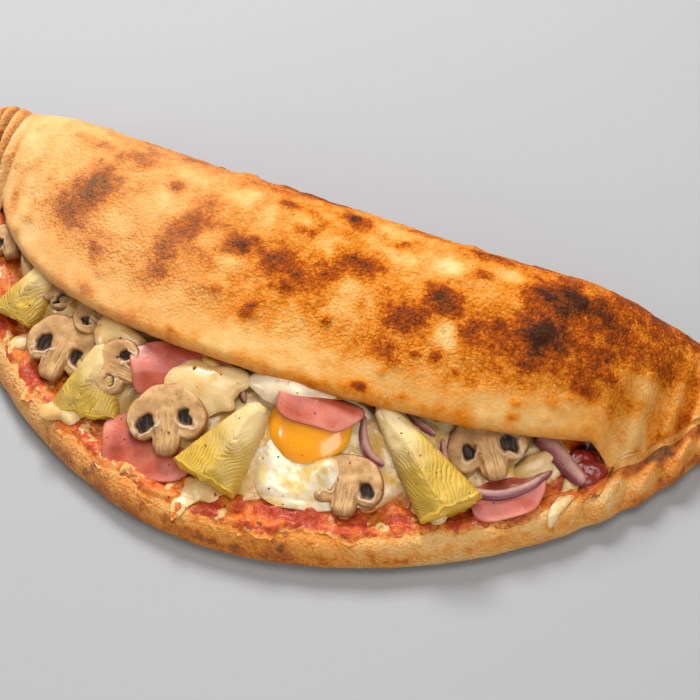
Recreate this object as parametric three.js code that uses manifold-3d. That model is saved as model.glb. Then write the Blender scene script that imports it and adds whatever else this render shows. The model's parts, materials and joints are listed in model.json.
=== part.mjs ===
// Calzone: a folded half-moon of baked dough, pinched shut at both ends and open
// along the front, with the filling running through it and showing in the mouth.
// Millimetres, +Z up. Work axes: X along the fold, Y from the mouth (-) to the fold
// (+), Z = 0 on the table. The whole group is shifted at the end to the part's origin.
import * as THREE from 'three';
import { mergeVertices } from 'three/addons/utils/BufferGeometryUtils.js';
import Module from 'manifold-3d';

const wasm = await Module();
wasm.setup();

// ---- plan of the dough
const REACH = 155;            // fold line to the front of the base
const APEX_X = 3;             // where the base reaches furthest
const HALF_LEFT = 168;        // apex to the left tip
const HALF_RIGHT = 173;       // apex to the right tip
const ARC_POWER = 1.8;        // roundness of the half-moon
const BACK_MID = -5;          // fold line at mid length
const BACK_RISE = 5.5;        // how far the fold line bows backwards towards the tips
// ---- flap over the filling
const CROWN = 58;             // greatest height
const TIP_HEIGHT = 19.5;
const CROWN_LEFT = 165;
const CROWN_RIGHT = 153;
const LIP_REACH = 97;         // fold line to the flap's free edge
const LIP_X = -25;
const LIP_LEFT = 120;
const LIP_RIGHT = 188;
const LIP_HEIGHT = 36;
const LIP_END_HEIGHT = 20;
const FLAP = 7;               // dough thickness of the flap
const BEAD = 4;               // radius of the flap's rounded free edge
const FLOOR = 5.5;            // dough thickness of the base
// ---- ends where flap and base are pinched together
const MOUTH_LEFT = -141;
const MOUTH_RIGHT = 139;
const MOUTH_FADE = 12;
const PLEAT_LEFT = 15;        // pitch of the finger pleats
const PLEAT_RIGHT = 17;
const PLEAT_DEPTH = 1.8;
const END_ROUND = 9;
const END_LEVEL = 8;
// ---- raised crust along the front: distance in from the edge and height
const RIM = [
  [27, 5.5], [21.5, 6.6], [16.5, 9.2], [12, 12.2], [8, 13.2], [4, 12.2], [1.2, 8.6], [0, 3.5], [0.9, 0.8],
];
const RIM_COLLAPSED = 3;      // rim points that vanish into the seam at the pinched ends
const SEAM = 13;
// ---- filling
const CLEAR = 0.4;            // gap kept between touching pieces
const BED_EDGE = 20;          // melted cheese starts this far in from the edge
const BED_LOW = 14.3;
const BED_UNDER_LIP = 8;
const SAUCE_EDGE = 13.5;
const SLICE_THICK = 4;
// ---- shift from the work axes to the middle of the part's box
const SHIFT_X = -5.5;
const SHIFT_Y = 76.25;

const ARCH_STEPS = [0, 0.12, 0.24, 0.35, 0.45, 0.58, 0.71, 0.85, 1];

const clamp = (t) => Math.min(1, Math.max(0, t));
const mix = (a, b, t) => a + (b - a) * t;

function smooth(a, b, x) {
  const t = clamp((x - a) / (b - a));
  return t * t * (3 - 2 * t);
}

// ---------------------------------------------------------------- dough outline
function tipward(x) {
  return clamp(x < APEX_X ? (APEX_X - x) / HALF_LEFT : (x - APEX_X) / HALF_RIGHT);
}

function frontY(x) {
  return -REACH * (1 - tipward(x) ** ARC_POWER) ** (1 / ARC_POWER);
}

function backY(x) {
  return (BACK_MID + BACK_RISE * (x / 130) ** 2) * Math.sqrt(1 - tipward(x) ** 8);
}

function lipY(x) {
  const left = x < LIP_X;
  const s = clamp(left ? (LIP_X - x) / LIP_LEFT : (x - LIP_X) / LIP_RIGHT);
  const power = left ? 2.2 : 2.4;
  return -LIP_REACH * (1 - s ** power) ** (1 / power);
}

function lipZ(x) {
  return LIP_END_HEIGHT + (LIP_HEIGHT - LIP_END_HEIGHT) * (1 - clamp(Math.abs(x) / 140) ** 2.6);
}

function crownZ(x) {
  const half = x < 0 ? CROWN_LEFT : CROWN_RIGHT;
  const power = x < 0 ? 3 : 5.2;
  return TIP_HEIGHT + (CROWN - TIP_HEIGHT) * (1 - clamp(Math.abs(x) / half) ** power);
}

// the rim's widths are measured square to the edge, so they grow where the edge runs aslant
function rimScale(x) {
  const slope = frontY(x + 0.5) - frontY(x - 0.5);
  return Math.min(Math.sqrt(1 + slope * slope), 1.65, (backY(x) - frontY(x)) / 34);
}

// point of the flap's outer face: v runs from the fold (0) over the crown to the end (1)
function arch(x, v, endY, endZ) {
  const back = backY(x);
  const height = Math.max(crownZ(x), endZ + 0.5);
  const low = Math.min(13, 0.45 * height);
  const crownY = back + (endY - back) * 0.36;
  if (v < 0.45) {
    const turn = (v / 0.45) * Math.PI / 2;
    return [crownY + (back - crownY) * Math.cos(turn), low + (height - low) * Math.sin(turn)];
  }
  const q = (v - 0.45) / 0.55;
  return [crownY + (endY - crownY) * q, height - (height - endZ) * q ** 2.1];
}

// low swells of the baked crust
function swell(x, v) {
  const broad = Math.sin(x / 17 + 1.3) * Math.sin(4.2 * v + 0.4);
  const fine = Math.sin(x / 9.5 - 5 * v) * Math.sin(7 * v + x / 31);
  return (0.9 * broad + 0.6 * fine) * Math.sin(Math.PI * clamp(v * 1.02));
}

function openness(x) {
  return smooth(0, MOUTH_FADE, Math.min(x - MOUTH_LEFT, MOUTH_RIGHT - x));
}

// unit directions square to a run of [y, z] points, to the right of travel
function inward(points) {
  return points.map((p, i) => {
    const a = points[Math.max(0, i - 1)];
    const b = points[Math.min(points.length - 1, i + 1)];
    const length = Math.hypot(b[0] - a[0], b[1] - a[1]);
    return [-(b[1] - a[1]) / length, (b[0] - a[0]) / length];
  });
}

function rimPoints(x) {
  const edge = frontY(x);
  const scale = rimScale(x);
  return RIM.map(([y, z]) => [edge + y * scale, z]);
}

// flap's outer face, rounded edge, ceiling, inner back and floor of the open mouth
function openRun(x) {
  const bead = [lipY(x) + 0.777 * BEAD, lipZ(x) + 0.629 * BEAD];
  const end = [bead[0] - 0.5 * BEAD, bead[1] + 0.866 * BEAD];
  const face = ARCH_STEPS.map((v) => arch(x, v, end[0], end[1]));
  const square = inward(face);
  const outer = face.map((p, i) => {
    const lift = swell(x, ARCH_STEPS[i]);
    return [p[0] - square[i][0] * lift, p[1] - square[i][1] * lift];
  });
  const rounded = [165, 210, 255, 300].map((turn) => {
    const angle = turn * Math.PI / 180;
    return [bead[0] + BEAD * Math.cos(angle), bead[1] + BEAD * Math.sin(angle)];
  });
  const inner = face.map((p, i) => [p[0] + square[i][0] * FLAP, p[1] + square[i][1] * FLAP]);
  const ceiling = inner.slice(0, -1).reverse();
  const back = backY(x);
  const foot = frontY(x) + RIM[0][0] * rimScale(x);
  const floor = [
    [back - FLAP - 1.5, FLOOR + 1.5],
    [back - FLAP - 5, FLOOR],
    [mix(back - FLAP, foot, 0.5), FLOOR],
  ];
  return { outer, hidden: [...rounded, ...ceiling, ...floor] };
}

// the same run where flap and base are pinched: the hidden points fall into a short seam
function shutRun(x, count) {
  const edge = frontY(x);
  const scale = rimScale(x);
  const end = [edge + (SEAM + 2.5) * scale, 13.6];
  const outer = ARCH_STEPS.map((v) => arch(x, v, end[0], end[1]));
  const far = [edge + RIM[RIM_COLLAPSED][0] * scale, RIM[RIM_COLLAPSED][1]];
  const hidden = [];
  for (let i = 0; i < count; i++) {
    const g = Math.round(mix(1, 3, i / (count - 1))) / 4;
    hidden.push([mix(end[0], far[0], g), mix(end[1], far[1], g) - 0.6 * Math.sin(Math.PI * g)]);
  }
  return { outer, hidden };
}

// length of the front edge from the left tip, for the pitch of the pleats
function edgeLength(x) {
  const start = APEX_X - HALF_LEFT;
  const steps = 300;
  let length = 0;
  for (let i = 0; i < steps; i++) {
    const a = mix(start, x, (i / steps) ** 2);
    const b = mix(start, x, ((i + 1) / steps) ** 2);
    length += Math.hypot(b - a, frontY(b) - frontY(a));
  }
  return length;
}

function pleated(x, points) {
  const pitch = x < 0 ? PLEAT_LEFT : PLEAT_RIGHT;
  const wave = Math.cos((2 * Math.PI * edgeLength(x)) / pitch);
  const edge = frontY(x);
  const scale = rimScale(x);
  return points.map(([y, z]) => {
    const band = (1 - openness(x)) * (1 - smooth(14, 30, (y - edge) / scale));
    const rise = PLEAT_DEPTH * wave * band * clamp(z / 13);
    const push = 1.3 * wave * band * (1 - smooth(0, 6, (y - edge) / scale));
    return [y - push, z + rise];
  });
}

// knobs of twisted dough near the tips, and the rounding of the very ends
function finished(x, points) {
  const distance = Math.min(x - (APEX_X - HALF_LEFT), APEX_X + HALF_RIGHT - x);
  const round = Math.sqrt(1 - (1 - clamp(distance / END_ROUND)) ** 2);
  const knob = 3 * Math.exp(-(((x + 160) / 6) ** 2)) + 3 * Math.exp(-(((x - 160) / 8) ** 2));
  return points.map(([y, z]) => {
    const raised = z + knob * clamp((z - 9) / 9) * Math.exp(-(((y + 5) / 14) ** 2));
    return [y, END_LEVEL + (raised - END_LEVEL) * round];
  });
}

function section(x) {
  const open = openRun(x);
  const rim = rimPoints(x);
  const openHidden = [...open.hidden, ...rim.slice(0, RIM_COLLAPSED)];
  const shut = shutRun(x, openHidden.length);
  const k = openness(x);
  const blend = (a, b) => a.map((p, i) => [mix(p[0], b[i][0], k), mix(p[1], b[i][1], k)]);
  const edge = frontY(x);
  const back = backY(x);
  const low = Math.min(13, 0.45 * crownZ(x));
  const heel = Math.min(9, (back - edge) * 0.2);
  const bottom = [0, 0.33, 0.67, 1].map((t) => [mix(edge + 3 * rimScale(x), back - heel, t), 0]);
  const corner = [30, 60].map((turn) => {
    const angle = turn * Math.PI / 180;
    return [back - heel + heel * Math.sin(angle), low * (1 - Math.cos(angle))];
  });
  const run = [
    ...bottom,
    ...corner,
    ...blend(shut.outer, open.outer),
    ...blend(shut.hidden, openHidden),
    ...rim.slice(RIM_COLLAPSED),
  ];
  return finished(x, pleated(x, run)).map(([y, z]) => [x, y, Math.max(0, z)]);
}

// ---------------------------------------------------------------- mesh helpers
function closed(points, faces) {
  const geometry = new THREE.BufferGeometry();
  geometry.setAttribute('position', new THREE.Float32BufferAttribute(points.flat(), 3));
  geometry.setIndex(faces.flat());
  return facingOut(welded(geometry));
}

function facingOut(geometry) {
  const position = geometry.attributes.position;
  const index = geometry.index.array;
  const corner = [0, 1, 2].map(() => new THREE.Vector3());
  let volume = 0;
  for (let i = 0; i < index.length; i += 3) {
    corner.forEach((point, k) => point.fromBufferAttribute(position, index[i + k]));
    volume += corner[0].dot(corner[1].clone().cross(corner[2]));
  }
  if (volume < 0) {
    geometry.setIndex(Array.from(index).reverse());
  }
  return geometry;
}

function welded(geometry) {
  const bare = geometry.clone();
  bare.deleteAttribute('normal');
  bare.deleteAttribute('uv');
  const merged = mergeVertices(bare, 1e-3);
  const index = merged.index.array;
  const kept = [];
  for (let i = 0; i < index.length; i += 3) {
    const [a, b, c] = [index[i], index[i + 1], index[i + 2]];
    if (a !== b && b !== c && c !== a) {
      kept.push(a, b, c);
    }
  }
  merged.setIndex(kept);
  return merged;
}

// surface through rings of points, closed around and capped at both ends
function loft(rings) {
  const count = rings[0].length;
  const points = rings.flat();
  const faces = [];
  for (let i = 0; i + 1 < rings.length; i++) {
    for (let j = 0; j < count; j++) {
      const a = i * count + j;
      const b = i * count + ((j + 1) % count);
      faces.push([a, b, b + count], [a, b + count, a + count]);
    }
  }
  for (const end of [0, rings.length - 1]) {
    const ring = rings[end];
    const middle = [0, 1, 2].map((k) => ring.reduce((sum, p) => sum + p[k], 0) / count);
    const hub = points.push(middle) - 1;
    for (let j = 0; j < count; j++) {
      const a = end * count + j;
      const b = end * count + ((j + 1) % count);
      faces.push(end === 0 ? [hub, b, a] : [hub, a, b]);
    }
  }
  return closed(points, faces);
}

// disc-like solid: top and bottom are functions of [radius 0..1, angle] on one grid
function sheet(top, bottom, rings, sectors) {
  const points = [top(0, 0), bottom(0, 0)];
  for (let i = 1; i <= rings; i++) {
    for (let j = 0; j < sectors; j++) {
      const angle = (2 * Math.PI * j) / sectors;
      points.push(top(i / rings, angle), bottom(i / rings, angle));
    }
  }
  const at = (i, j, side) => (i === 0 ? side : 2 + 2 * ((i - 1) * sectors + (j % sectors)) + side);
  const faces = [];
  for (let i = 0; i < rings; i++) {
    for (let j = 0; j < sectors; j++) {
      const q = [at(i, j, 0), at(i + 1, j, 0), at(i + 1, j + 1, 0), at(i, j + 1, 0)];
      const r = [at(i, j, 1), at(i + 1, j, 1), at(i + 1, j + 1, 1), at(i, j + 1, 1)];
      faces.push([q[0], q[1], q[2]], [q[0], q[2], q[3]], [r[0], r[2], r[1]], [r[0], r[3], r[2]]);
      if (i === rings - 1) {
        faces.push([q[1], r[1], r[2]], [q[1], r[2], q[2]]);
      }
    }
  }
  return closed(points, faces);
}

function toManifold(geometry) {
  const source = welded(geometry);
  return new wasm.Manifold(new wasm.Mesh({
    numProp: 3,
    vertProperties: new Float32Array(source.attributes.position.array),
    triVerts: new Uint32Array(source.index.array),
  }));
}

function fromManifold(solid) {
  const mesh = solid.getMesh();
  const geometry = new THREE.BufferGeometry();
  geometry.setAttribute('position', new THREE.BufferAttribute(new Float32Array(mesh.vertProperties), 3));
  geometry.setIndex(new THREE.BufferAttribute(new Uint32Array(mesh.triVerts), 1));
  return geometry;
}

// the same closed surface moved outwards by a clearance
function grown(geometry, distance) {
  const source = welded(geometry);
  source.computeVertexNormals();
  const position = source.attributes.position;
  const normal = source.attributes.normal;
  for (let i = 0; i < position.count; i++) {
    position.setXYZ(
      i,
      position.getX(i) + normal.getX(i) * distance,
      position.getY(i) + normal.getY(i) * distance,
      position.getZ(i) + normal.getZ(i) * distance,
    );
  }
  return source;
}

function largest(solid) {
  const parts = solid.decompose();
  return parts.sort((a, b) => b.volume() - a.volume())[0];
}

// ---------------------------------------------------------------- dough
// stations crowd towards the tips so that the pleats are drawn
function doughStations() {
  const stations = [];
  const left = APEX_X - HALF_LEFT;
  const right = APEX_X + HALF_RIGHT;
  for (let i = 2; i < 15; i++) {
    stations.push(left + 35 * (i / 15) ** ARC_POWER);
  }
  for (let i = 0; i < 21; i++) {
    stations.push(mix(left + 35, right - 44, i / 21));
  }
  for (let i = 17; i >= 2; i--) {
    stations.push(right - 44 * (i / 17) ** ARC_POWER);
  }
  return stations;
}

function dough() {
  return loft(doughStations().map(section));
}

// ---------------------------------------------------------------- beds of filling
function sauceTop(x, y) {
  const t = (y - frontY(x)) / rimScale(x);
  const lumps = 0.35 * Math.sin(x / 5.5 + t / 3);
  if (t < 20) {
    return mix(12.3, 12.9, smooth(12, 17, t)) + lumps;
  }
  return mix(12.7, 8.6, smooth(20, 42, t));
}

// soft heaps of cheese: x, y, height, spread
const HEAPS = [
  [-7, -106, 2.2, 11], [-52, -101, 2, 9], [72, -92, 1.5, 9], [115, -80, 1.5, 9], [-112, -72, 1.5, 9],
];

function bedTop(x, y) {
  const near = frontY(x) + BED_EDGE * rimScale(x);
  const t = clamp((y - near) / (lipY(x) - near));
  const heaps = HEAPS.reduce((sum, [hx, hy, rise, spread]) => {
    return sum + rise * Math.exp(-((x - hx) ** 2 + (y - hy) ** 2) / spread ** 2);
  }, 0);
  return BED_LOW + (lipZ(x) - BED_UNDER_LIP - BED_LOW) * t ** 0.9 + heaps;
}

function cavityFloor(x) {
  const rim = rimPoints(x);
  const run = openRun(x).hidden.slice(-3);
  return { rim, run };
}

function bedStations() {
  const stations = [];
  for (let i = 0; i <= 20; i++) {
    stations.push(mix(MOUTH_LEFT + 1, MOUTH_RIGHT - 1, i / 20));
  }
  return stations;
}

function sauceSection(x) {
  const edge = frontY(x);
  const scale = rimScale(x);
  const { rim, run } = cavityFloor(x);
  const lower = [rim[2], rim[1], rim[0], run[1]].map(([y, z]) => [y, z + 0.9]);
  const front = [edge + SAUCE_EDGE * scale, 11.9];
  const upperY = [run[1][0], edge + 38 * scale, edge + 28 * scale, edge + 21 * scale, edge + 16 * scale];
  const upper = upperY.map((y) => [y, sauceTop(x, y)]);
  return [front, ...lower, ...upper].map(([y, z]) => [x, y, z]);
}

function cheeseSection(x) {
  const edge = frontY(x);
  const scale = rimScale(x);
  const lip = lipY(x);
  const { run } = cavityFloor(x);
  const hidden = openRun(x).hidden;
  const ceiling = hidden.slice(4, 12).reverse();
  const square = inward(ceiling);
  const inset = [0, 1, 2, 4, 5, 6].map((i) => {
    return [ceiling[i][0] + square[i][0] * 0.9, ceiling[i][1] + square[i][1] * 0.9];
  });
  const ragged = BED_EDGE + 1.2 * Math.sin(x / 6.3) + 0.9 * Math.sin(x / 2.9 + 1);
  const front = edge + ragged * scale;
  const lowerY = [front + 1.5, edge + 28 * scale, edge + 38 * scale, run[1][0] - 0.9];
  const lower = lowerY.map((y) => [y, sauceTop(x, y) + CLEAR]);
  const heel = [[run[0][0] - 1, 12]];
  const upperY = [mix(lip, front, 0.02), mix(lip, front, 0.35), mix(lip, front, 0.7), front + 1.2];
  const upper = upperY.map((y) => [y, bedTop(x, y)]);
  const underLip = [[lip + 8, lipZ(x) - 5]];
  const nose = [[front, BED_LOW - 0.6]];
  return [...lower, ...heel, ...inset, ...underLip, ...upper, ...nose].map(([y, z]) => [x, y, z]);
}

// ---------------------------------------------------------------- toppings
// slope of the bed towards the mouth, so that pieces lie on it
function bedPitch(x, y) {
  return Math.atan2(bedTop(x, y + 6) - bedTop(x, y - 6), 12);
}

function laid(geometry, x, y, lift, yaw, tilt = 0, roll = 0) {
  const pitch = bedPitch(x, y) + THREE.MathUtils.degToRad(tilt);
  geometry.applyMatrix4(new THREE.Matrix4().makeRotationY(THREE.MathUtils.degToRad(roll)));
  geometry.applyMatrix4(new THREE.Matrix4().makeRotationZ(THREE.MathUtils.degToRad(yaw)));
  geometry.applyMatrix4(new THREE.Matrix4().makeRotationX(pitch));
  geometry.translate(x, y, bedTop(x, y) + lift);
  return geometry;
}

// lengthwise slice: domed cap, edges curled under, a gill hollow either side of the stem
const SLICE = [
  [0, 13.2], [6, 12.2], [11.5, 8.6], [15, 2.5], [15, -3.2], [12, -7.2], [7.6, -6.4],
  [6.9, -3], [8, -0.4], [5.8, 0.6], [4.7, -3.5], [4.8, -10.5], [3, -13.2],
];

function mushroom(width, stem, x, y, lift, yaw, tilt, roll) {
  const scale = width / 30.8;
  const right = SLICE.map(([px, py]) => [px, py < -6.7 ? -6.7 + (py + 6.7) * stem : py]);
  const left = right.slice(1).reverse().map(([px, py]) => [-px, py]);
  const outline = [...right, ...left].map(([px, py]) => new THREE.Vector2(px * scale, py * scale));
  const geometry = new THREE.ExtrudeGeometry(new THREE.Shape(outline), {
    depth: SLICE_THICK,
    bevelEnabled: false,
  });
  geometry.translate(0, 0, -SLICE_THICK / 2);
  return laid(geometry, x, y, lift, yaw, tilt, roll);
}

// quartered heart: narrow pale end at +Y, a fan of leaf edges at -Y
function artichoke(length, width, skew, x, y, lift, yaw, tilt) {
  const rings = [];
  for (const t of [0, 0.06, 0.25, 0.5, 0.75, 0.96, 1]) {
    const plump = Math.min(1, 0.6 + 7 * t) * (t === 1 ? 0.88 : 1);
    const half = width * plump * (0.13 + 0.37 * t ** 0.9);
    const tall = plump * (4.2 + 1.8 * Math.sin(Math.PI * (0.2 + 0.6 * t)));
    const ring = [];
    for (let j = 0; j < 12; j++) {
      const angle = (2 * Math.PI * j) / 12;
      const across = half * Math.sign(Math.cos(angle)) * Math.abs(Math.cos(angle)) ** 0.7;
      const leaf = Math.sin(angle) > 0 ? 0.7 * t * (2 * (j % 2) - 1) : 0;
      const up = tall * Math.sign(Math.sin(angle)) * Math.abs(Math.sin(angle)) ** 0.6 + leaf;
      ring.push([across, length * (0.5 - t) + skew * across * t * t, up]);
    }
    rings.push(ring);
  }
  return laid(loft(rings), x, y, lift, yaw, tilt);
}

// thin wavy slice: the rim lifts by curl, and the whole bends over one axis by fold
function ham(rx, ry, x, y, lift, yaw, tilt, roll, curl, fold) {
  const surface = (side) => (r, a) => {
    const ripple = 1 + 0.06 * Math.sin(3 * a + 1) + 0.04 * Math.sin(5 * a);
    const px = rx * r * ripple * Math.cos(a);
    const py = ry * r * ripple * Math.sin(a);
    const wave = curl * r * r + 0.7 * r * Math.sin(4 * a + 0.6) - fold * (py / ry) ** 2;
    return [px, py, wave + side * (1.1 - 0.25 * r * r)];
  };
  return laid(sheet(surface(1), surface(-1), 3, 14), x, y, lift, yaw, tilt, roll);
}

// strip along an arc, standing a little on edge
function onion(points, width, tall, lift) {
  const curve = new THREE.CatmullRomCurve3(points.map(([px, py]) => new THREE.Vector3(px, py, 0)));
  const steps = 3 * (points.length - 1);
  const rings = [];
  for (let i = 0; i <= steps; i++) {
    const t = i / steps;
    const at = curve.getPoint(t);
    const along = curve.getTangent(t);
    const side = [-along.y, along.x];
    const slim = 0.45 + 0.55 * Math.sin(Math.PI * mix(0.12, 0.88, t));
    const base = bedTop(at.x, at.y) + lift;
    const ring = [];
    for (let j = 0; j < 5; j++) {
      const angle = (-2 * Math.PI * j) / 5;
      const off = 0.5 * width * slim * Math.cos(angle);
      const up = base + 0.5 * tall * slim * Math.sin(angle) + 0.35 * off;
      ring.push([at.x + side[0] * off, at.y + side[1] * off, up]);
    }
    rings.push(ring);
  }
  return loft(rings);
}

// low lobed pool lying in the bed
function pool(x, y, rx, ry, rise, sink, lobes, sectors) {
  const outline = (a) => 1 + 0.09 * Math.sin(lobes * a + 1) + 0.06 * Math.sin((lobes + 2) * a);
  const place = (r, a) => [x + rx * r * outline(a) * Math.cos(a), y + ry * r * outline(a) * Math.sin(a)];
  const top = (r, a) => {
    const [px, py] = place(r, a);
    return [px, py, bedTop(px, py) + rise * Math.sqrt(Math.max(0, 1 - 0.92 * r * r)) + 0.2];
  };
  const bottom = (r, a) => {
    const [px, py] = place(r, a);
    return [px, py, bedTop(px, py) - sink * (1 - 0.75 * r * r)];
  };
  return sheet(top, bottom, 3, sectors);
}

function yolk() {
  const [x, y, radius, rise] = [32, -103, 16, 8];
  const base = bedTop(x, y) + 0.5;
  const top = (r, a) => [
    x + radius * Math.sin(r * Math.PI / 2) * Math.cos(a),
    y + 0.94 * radius * Math.sin(r * Math.PI / 2) * Math.sin(a),
    base + 0.33 * radius * Math.sin(r * Math.PI / 2) * Math.sin(a) + rise * Math.cos(r * Math.PI / 2) ** 1.2,
  ];
  const bottom = (r, a) => [
    x + 0.93 * radius * r * Math.cos(a),
    y + 0.88 * radius * r * Math.sin(a),
    base - 1.6 + 0.31 * radius * r * Math.sin(a),
  ];
  return sheet(top, bottom, 4, 14);
}

// tongue of melted cheese lying over the raised crust
function drip(x, y0, y1, width, thick) {
  const rings = [];
  const steps = 7;
  for (let i = 0; i <= steps; i++) {
    const t = i / steps;
    const y = mix(y0, y1, t);
    const half = 0.5 * width * (0.75 + 0.25 * Math.cos(2.4 * t * Math.PI)) * Math.sqrt(1 - (0.98 * t) ** 4);
    const ring = [];
    for (let j = 0; j < 6; j++) {
      const angle = (2 * Math.PI * j) / 6;
      const px = x + half * Math.cos(angle);
      const up = Math.sin(angle) > 0 ? thick * Math.sin(angle) : 0.3 * Math.sin(angle);
      ring.push([px, y, rimTop(px, y) + CLEAR + 0.3 + up * (1 - 0.5 * t)]);
    }
    rings.push(ring);
  }
  return loft(rings.reverse());
}

// height of the base's crust, or of the sauce against it, at a plan position
function rimTop(x, y) {
  const inwardBy = (y - frontY(x)) / rimScale(x);
  const crust = RIM.slice(RIM_COLLAPSED, -1);
  if (inwardBy > crust[0][0]) {
    return Math.max(sauceTop(x, y), inwardBy > BED_EDGE - 1 ? bedTop(x, y) : 0);
  }
  for (let i = 0; i + 1 < crust.length; i++) {
    const [a, b] = [crust[i], crust[i + 1]];
    if (inwardBy >= b[0]) {
      return mix(b[1], a[1], (inwardBy - b[0]) / (a[0] - b[0]));
    }
  }
  return crust[crust.length - 1][1];
}

const RING_PATH = [[79, -90], [84, -97], [94, -101], [105, -98], [114, -90], [119, -81]];

// every topping, uppermost first: where two would meet, the later one gives way
function toppings() {
  return [
    ['ham_over_yolk', 'ham', ham(16.5, 10, 33, -98.5, 8.4, 0, -17, 6, -0.5, 2.5)],
    ['mushroom_left_front', 'mushroom', mushroom(31, 1, -18, -121.5, 5.2, 22, 4, 0)],
    ['mushroom_mid', 'mushroom', mushroom(29, 0.9, 53.5, -117.5, 3, 12, 0, 0)],
    ['mushroom_right', 'mushroom', mushroom(31, 1, 94.5, -84, 2.6, 37, 2, 0)],
    ['mushroom_left', 'mushroom', mushroom(30.5, 1, -72, -106, 3.2, -6, 0, 0)],
    ['ham_folded', 'ham', ham(19.5, 12, -21.5, -104.5, 5.4, 12, 0, 5, 1, 3)],
    ['artichoke_mid', 'artichoke', artichoke(35, 27.5, 0.14, 9, -121, 3.6, -17, 2)],
    ['artichoke_left', 'artichoke', artichoke(28, 29, 0.17, -51.5, -115, 3.2, 1, 2)],
    ['artichoke_right', 'artichoke', artichoke(48, 24.5, -0.19, 73, -100, 3.2, 55, 0)],
    ['artichoke_far_left', 'artichoke', artichoke(28, 22, 0.1, -95, -86, 2.6, -13, 0)],
    ['mushroom_behind_ham', 'mushroom', mushroom(22, 1, -44.5, -110.5, 7, 82, 4, 0)],
    ['egg_yolk', 'egg_yolk', yolk()],
    ['onion_wedge', 'onion', onion([[109, -72], [116, -73], [124, -76], [131, -80]], 6.5, 4.5, 2)],
    ['onion_ring', 'onion', onion(RING_PATH, 3.6, 3.4, 3)],
    ['onion_curl', 'onion', onion([[49, -93], [52, -100], [57, -105], [63, -106]], 3.6, 3.2, 1.6)],
    ['onion_strip', 'onion', onion([[-3, -93], [1, -99], [6, -105]], 3.2, 3, 1.4)],
    ['onion_short', 'onion', onion([[63, -85], [69, -88], [76, -89]], 3.2, 3, 1.4)],
    ['mozzarella', 'mozzarella', pool(25, -93, 24, 9, 6, 3, 3, 14)],
    ['ham_front_left', 'ham', ham(20, 12.5, -21, -131, 1.4, 4, 4, 0, 0.6, 0.8)],
    ['ham_front_right', 'ham', ham(15, 10.5, 106, -96, 1.7, 32, 0, 0, 0.4, 0.6)],
    ['tomato_piece', 'tomato', pool(129, -72, 7.5, 8, 2.6, 2.5, 3, 12)],
    ['mushroom_under_lip', 'mushroom', mushroom(21, 0.8, -86, -83, 1, -42, 0, 0)],
    ['mushroom_under_lip_mid', 'mushroom', mushroom(22, 0.8, -64, -90, 1, 62, 0, 0)],
    ['mushroom_far_left', 'mushroom', mushroom(20, 0.9, -121, -64, 0.8, 34, 0, 0)],
    ['cheese_drip_left', 'cheese', drip(5, -138, -153, 10, 1.6)],
    ['cheese_drip_right', 'cheese', drip(126, -79, -97, 7, 1.6)],
    ['egg_white', 'egg_white', pool(33, -114, 28, 18, 2, 2.2, 4, 14)],
  ];
}

// ---------------------------------------------------------------- materials
const FINISH = {
  dough: ['#c98a48', 0.82],
  sauce: ['#c2481c', 0.5],
  cheese: ['#ecd9a6', 0.45],
  mozzarella: ['#f1e4c6', 0.4],
  egg_white: ['#f0e0b4', 0.4],
  egg_yolk: ['#ee8f1a', 0.28],
  mushroom: ['#c39a68', 0.6],
  artichoke: ['#d3c46c', 0.5],
  ham: ['#c9636a', 0.45],
  onion: ['#a8707a', 0.4],
  tomato: ['#9c2016', 0.35],
};

function mesh(name, finish, geometry) {
  const [colour, roughness] = FINISH[finish];
  const shape = geometry;
  shape.translate(SHIFT_X, SHIFT_Y, 0);
  shape.computeVertexNormals();
  const surface = new THREE.MeshStandardMaterial({ color: colour, roughness, metalness: 0 });
  const piece = new THREE.Mesh(shape, surface);
  piece.name = name;
  return piece;
}

function build() {
  const group = new THREE.Group();
  group.name = 'calzone';
  const shell = dough();
  let taken = toManifold(shell).add(toManifold(grown(shell, CLEAR)));
  const pieces = [];
  for (const [name, finish, geometry] of toppings()) {
    pieces.push([name, finish, fromManifold(largest(toManifold(geometry).subtract(taken)))]);
    taken = taken.add(toManifold(grown(geometry, CLEAR)));
  }
  const sauce = toManifold(loft(bedStations().map(sauceSection)));
  const cheese = toManifold(loft(bedStations().map(cheeseSection)));
  group.add(mesh('dough', 'dough', shell));
  group.add(mesh('tomato_sauce', 'sauce', fromManifold(largest(sauce.subtract(taken)))));
  group.add(mesh('melted_cheese', 'cheese', fromManifold(largest(cheese.subtract(taken)))));
  for (const [name, finish, geometry] of pieces) {
    group.add(mesh(name, finish, geometry));
  }
  return group;
}

export default build();
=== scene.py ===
import json
import math

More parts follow.
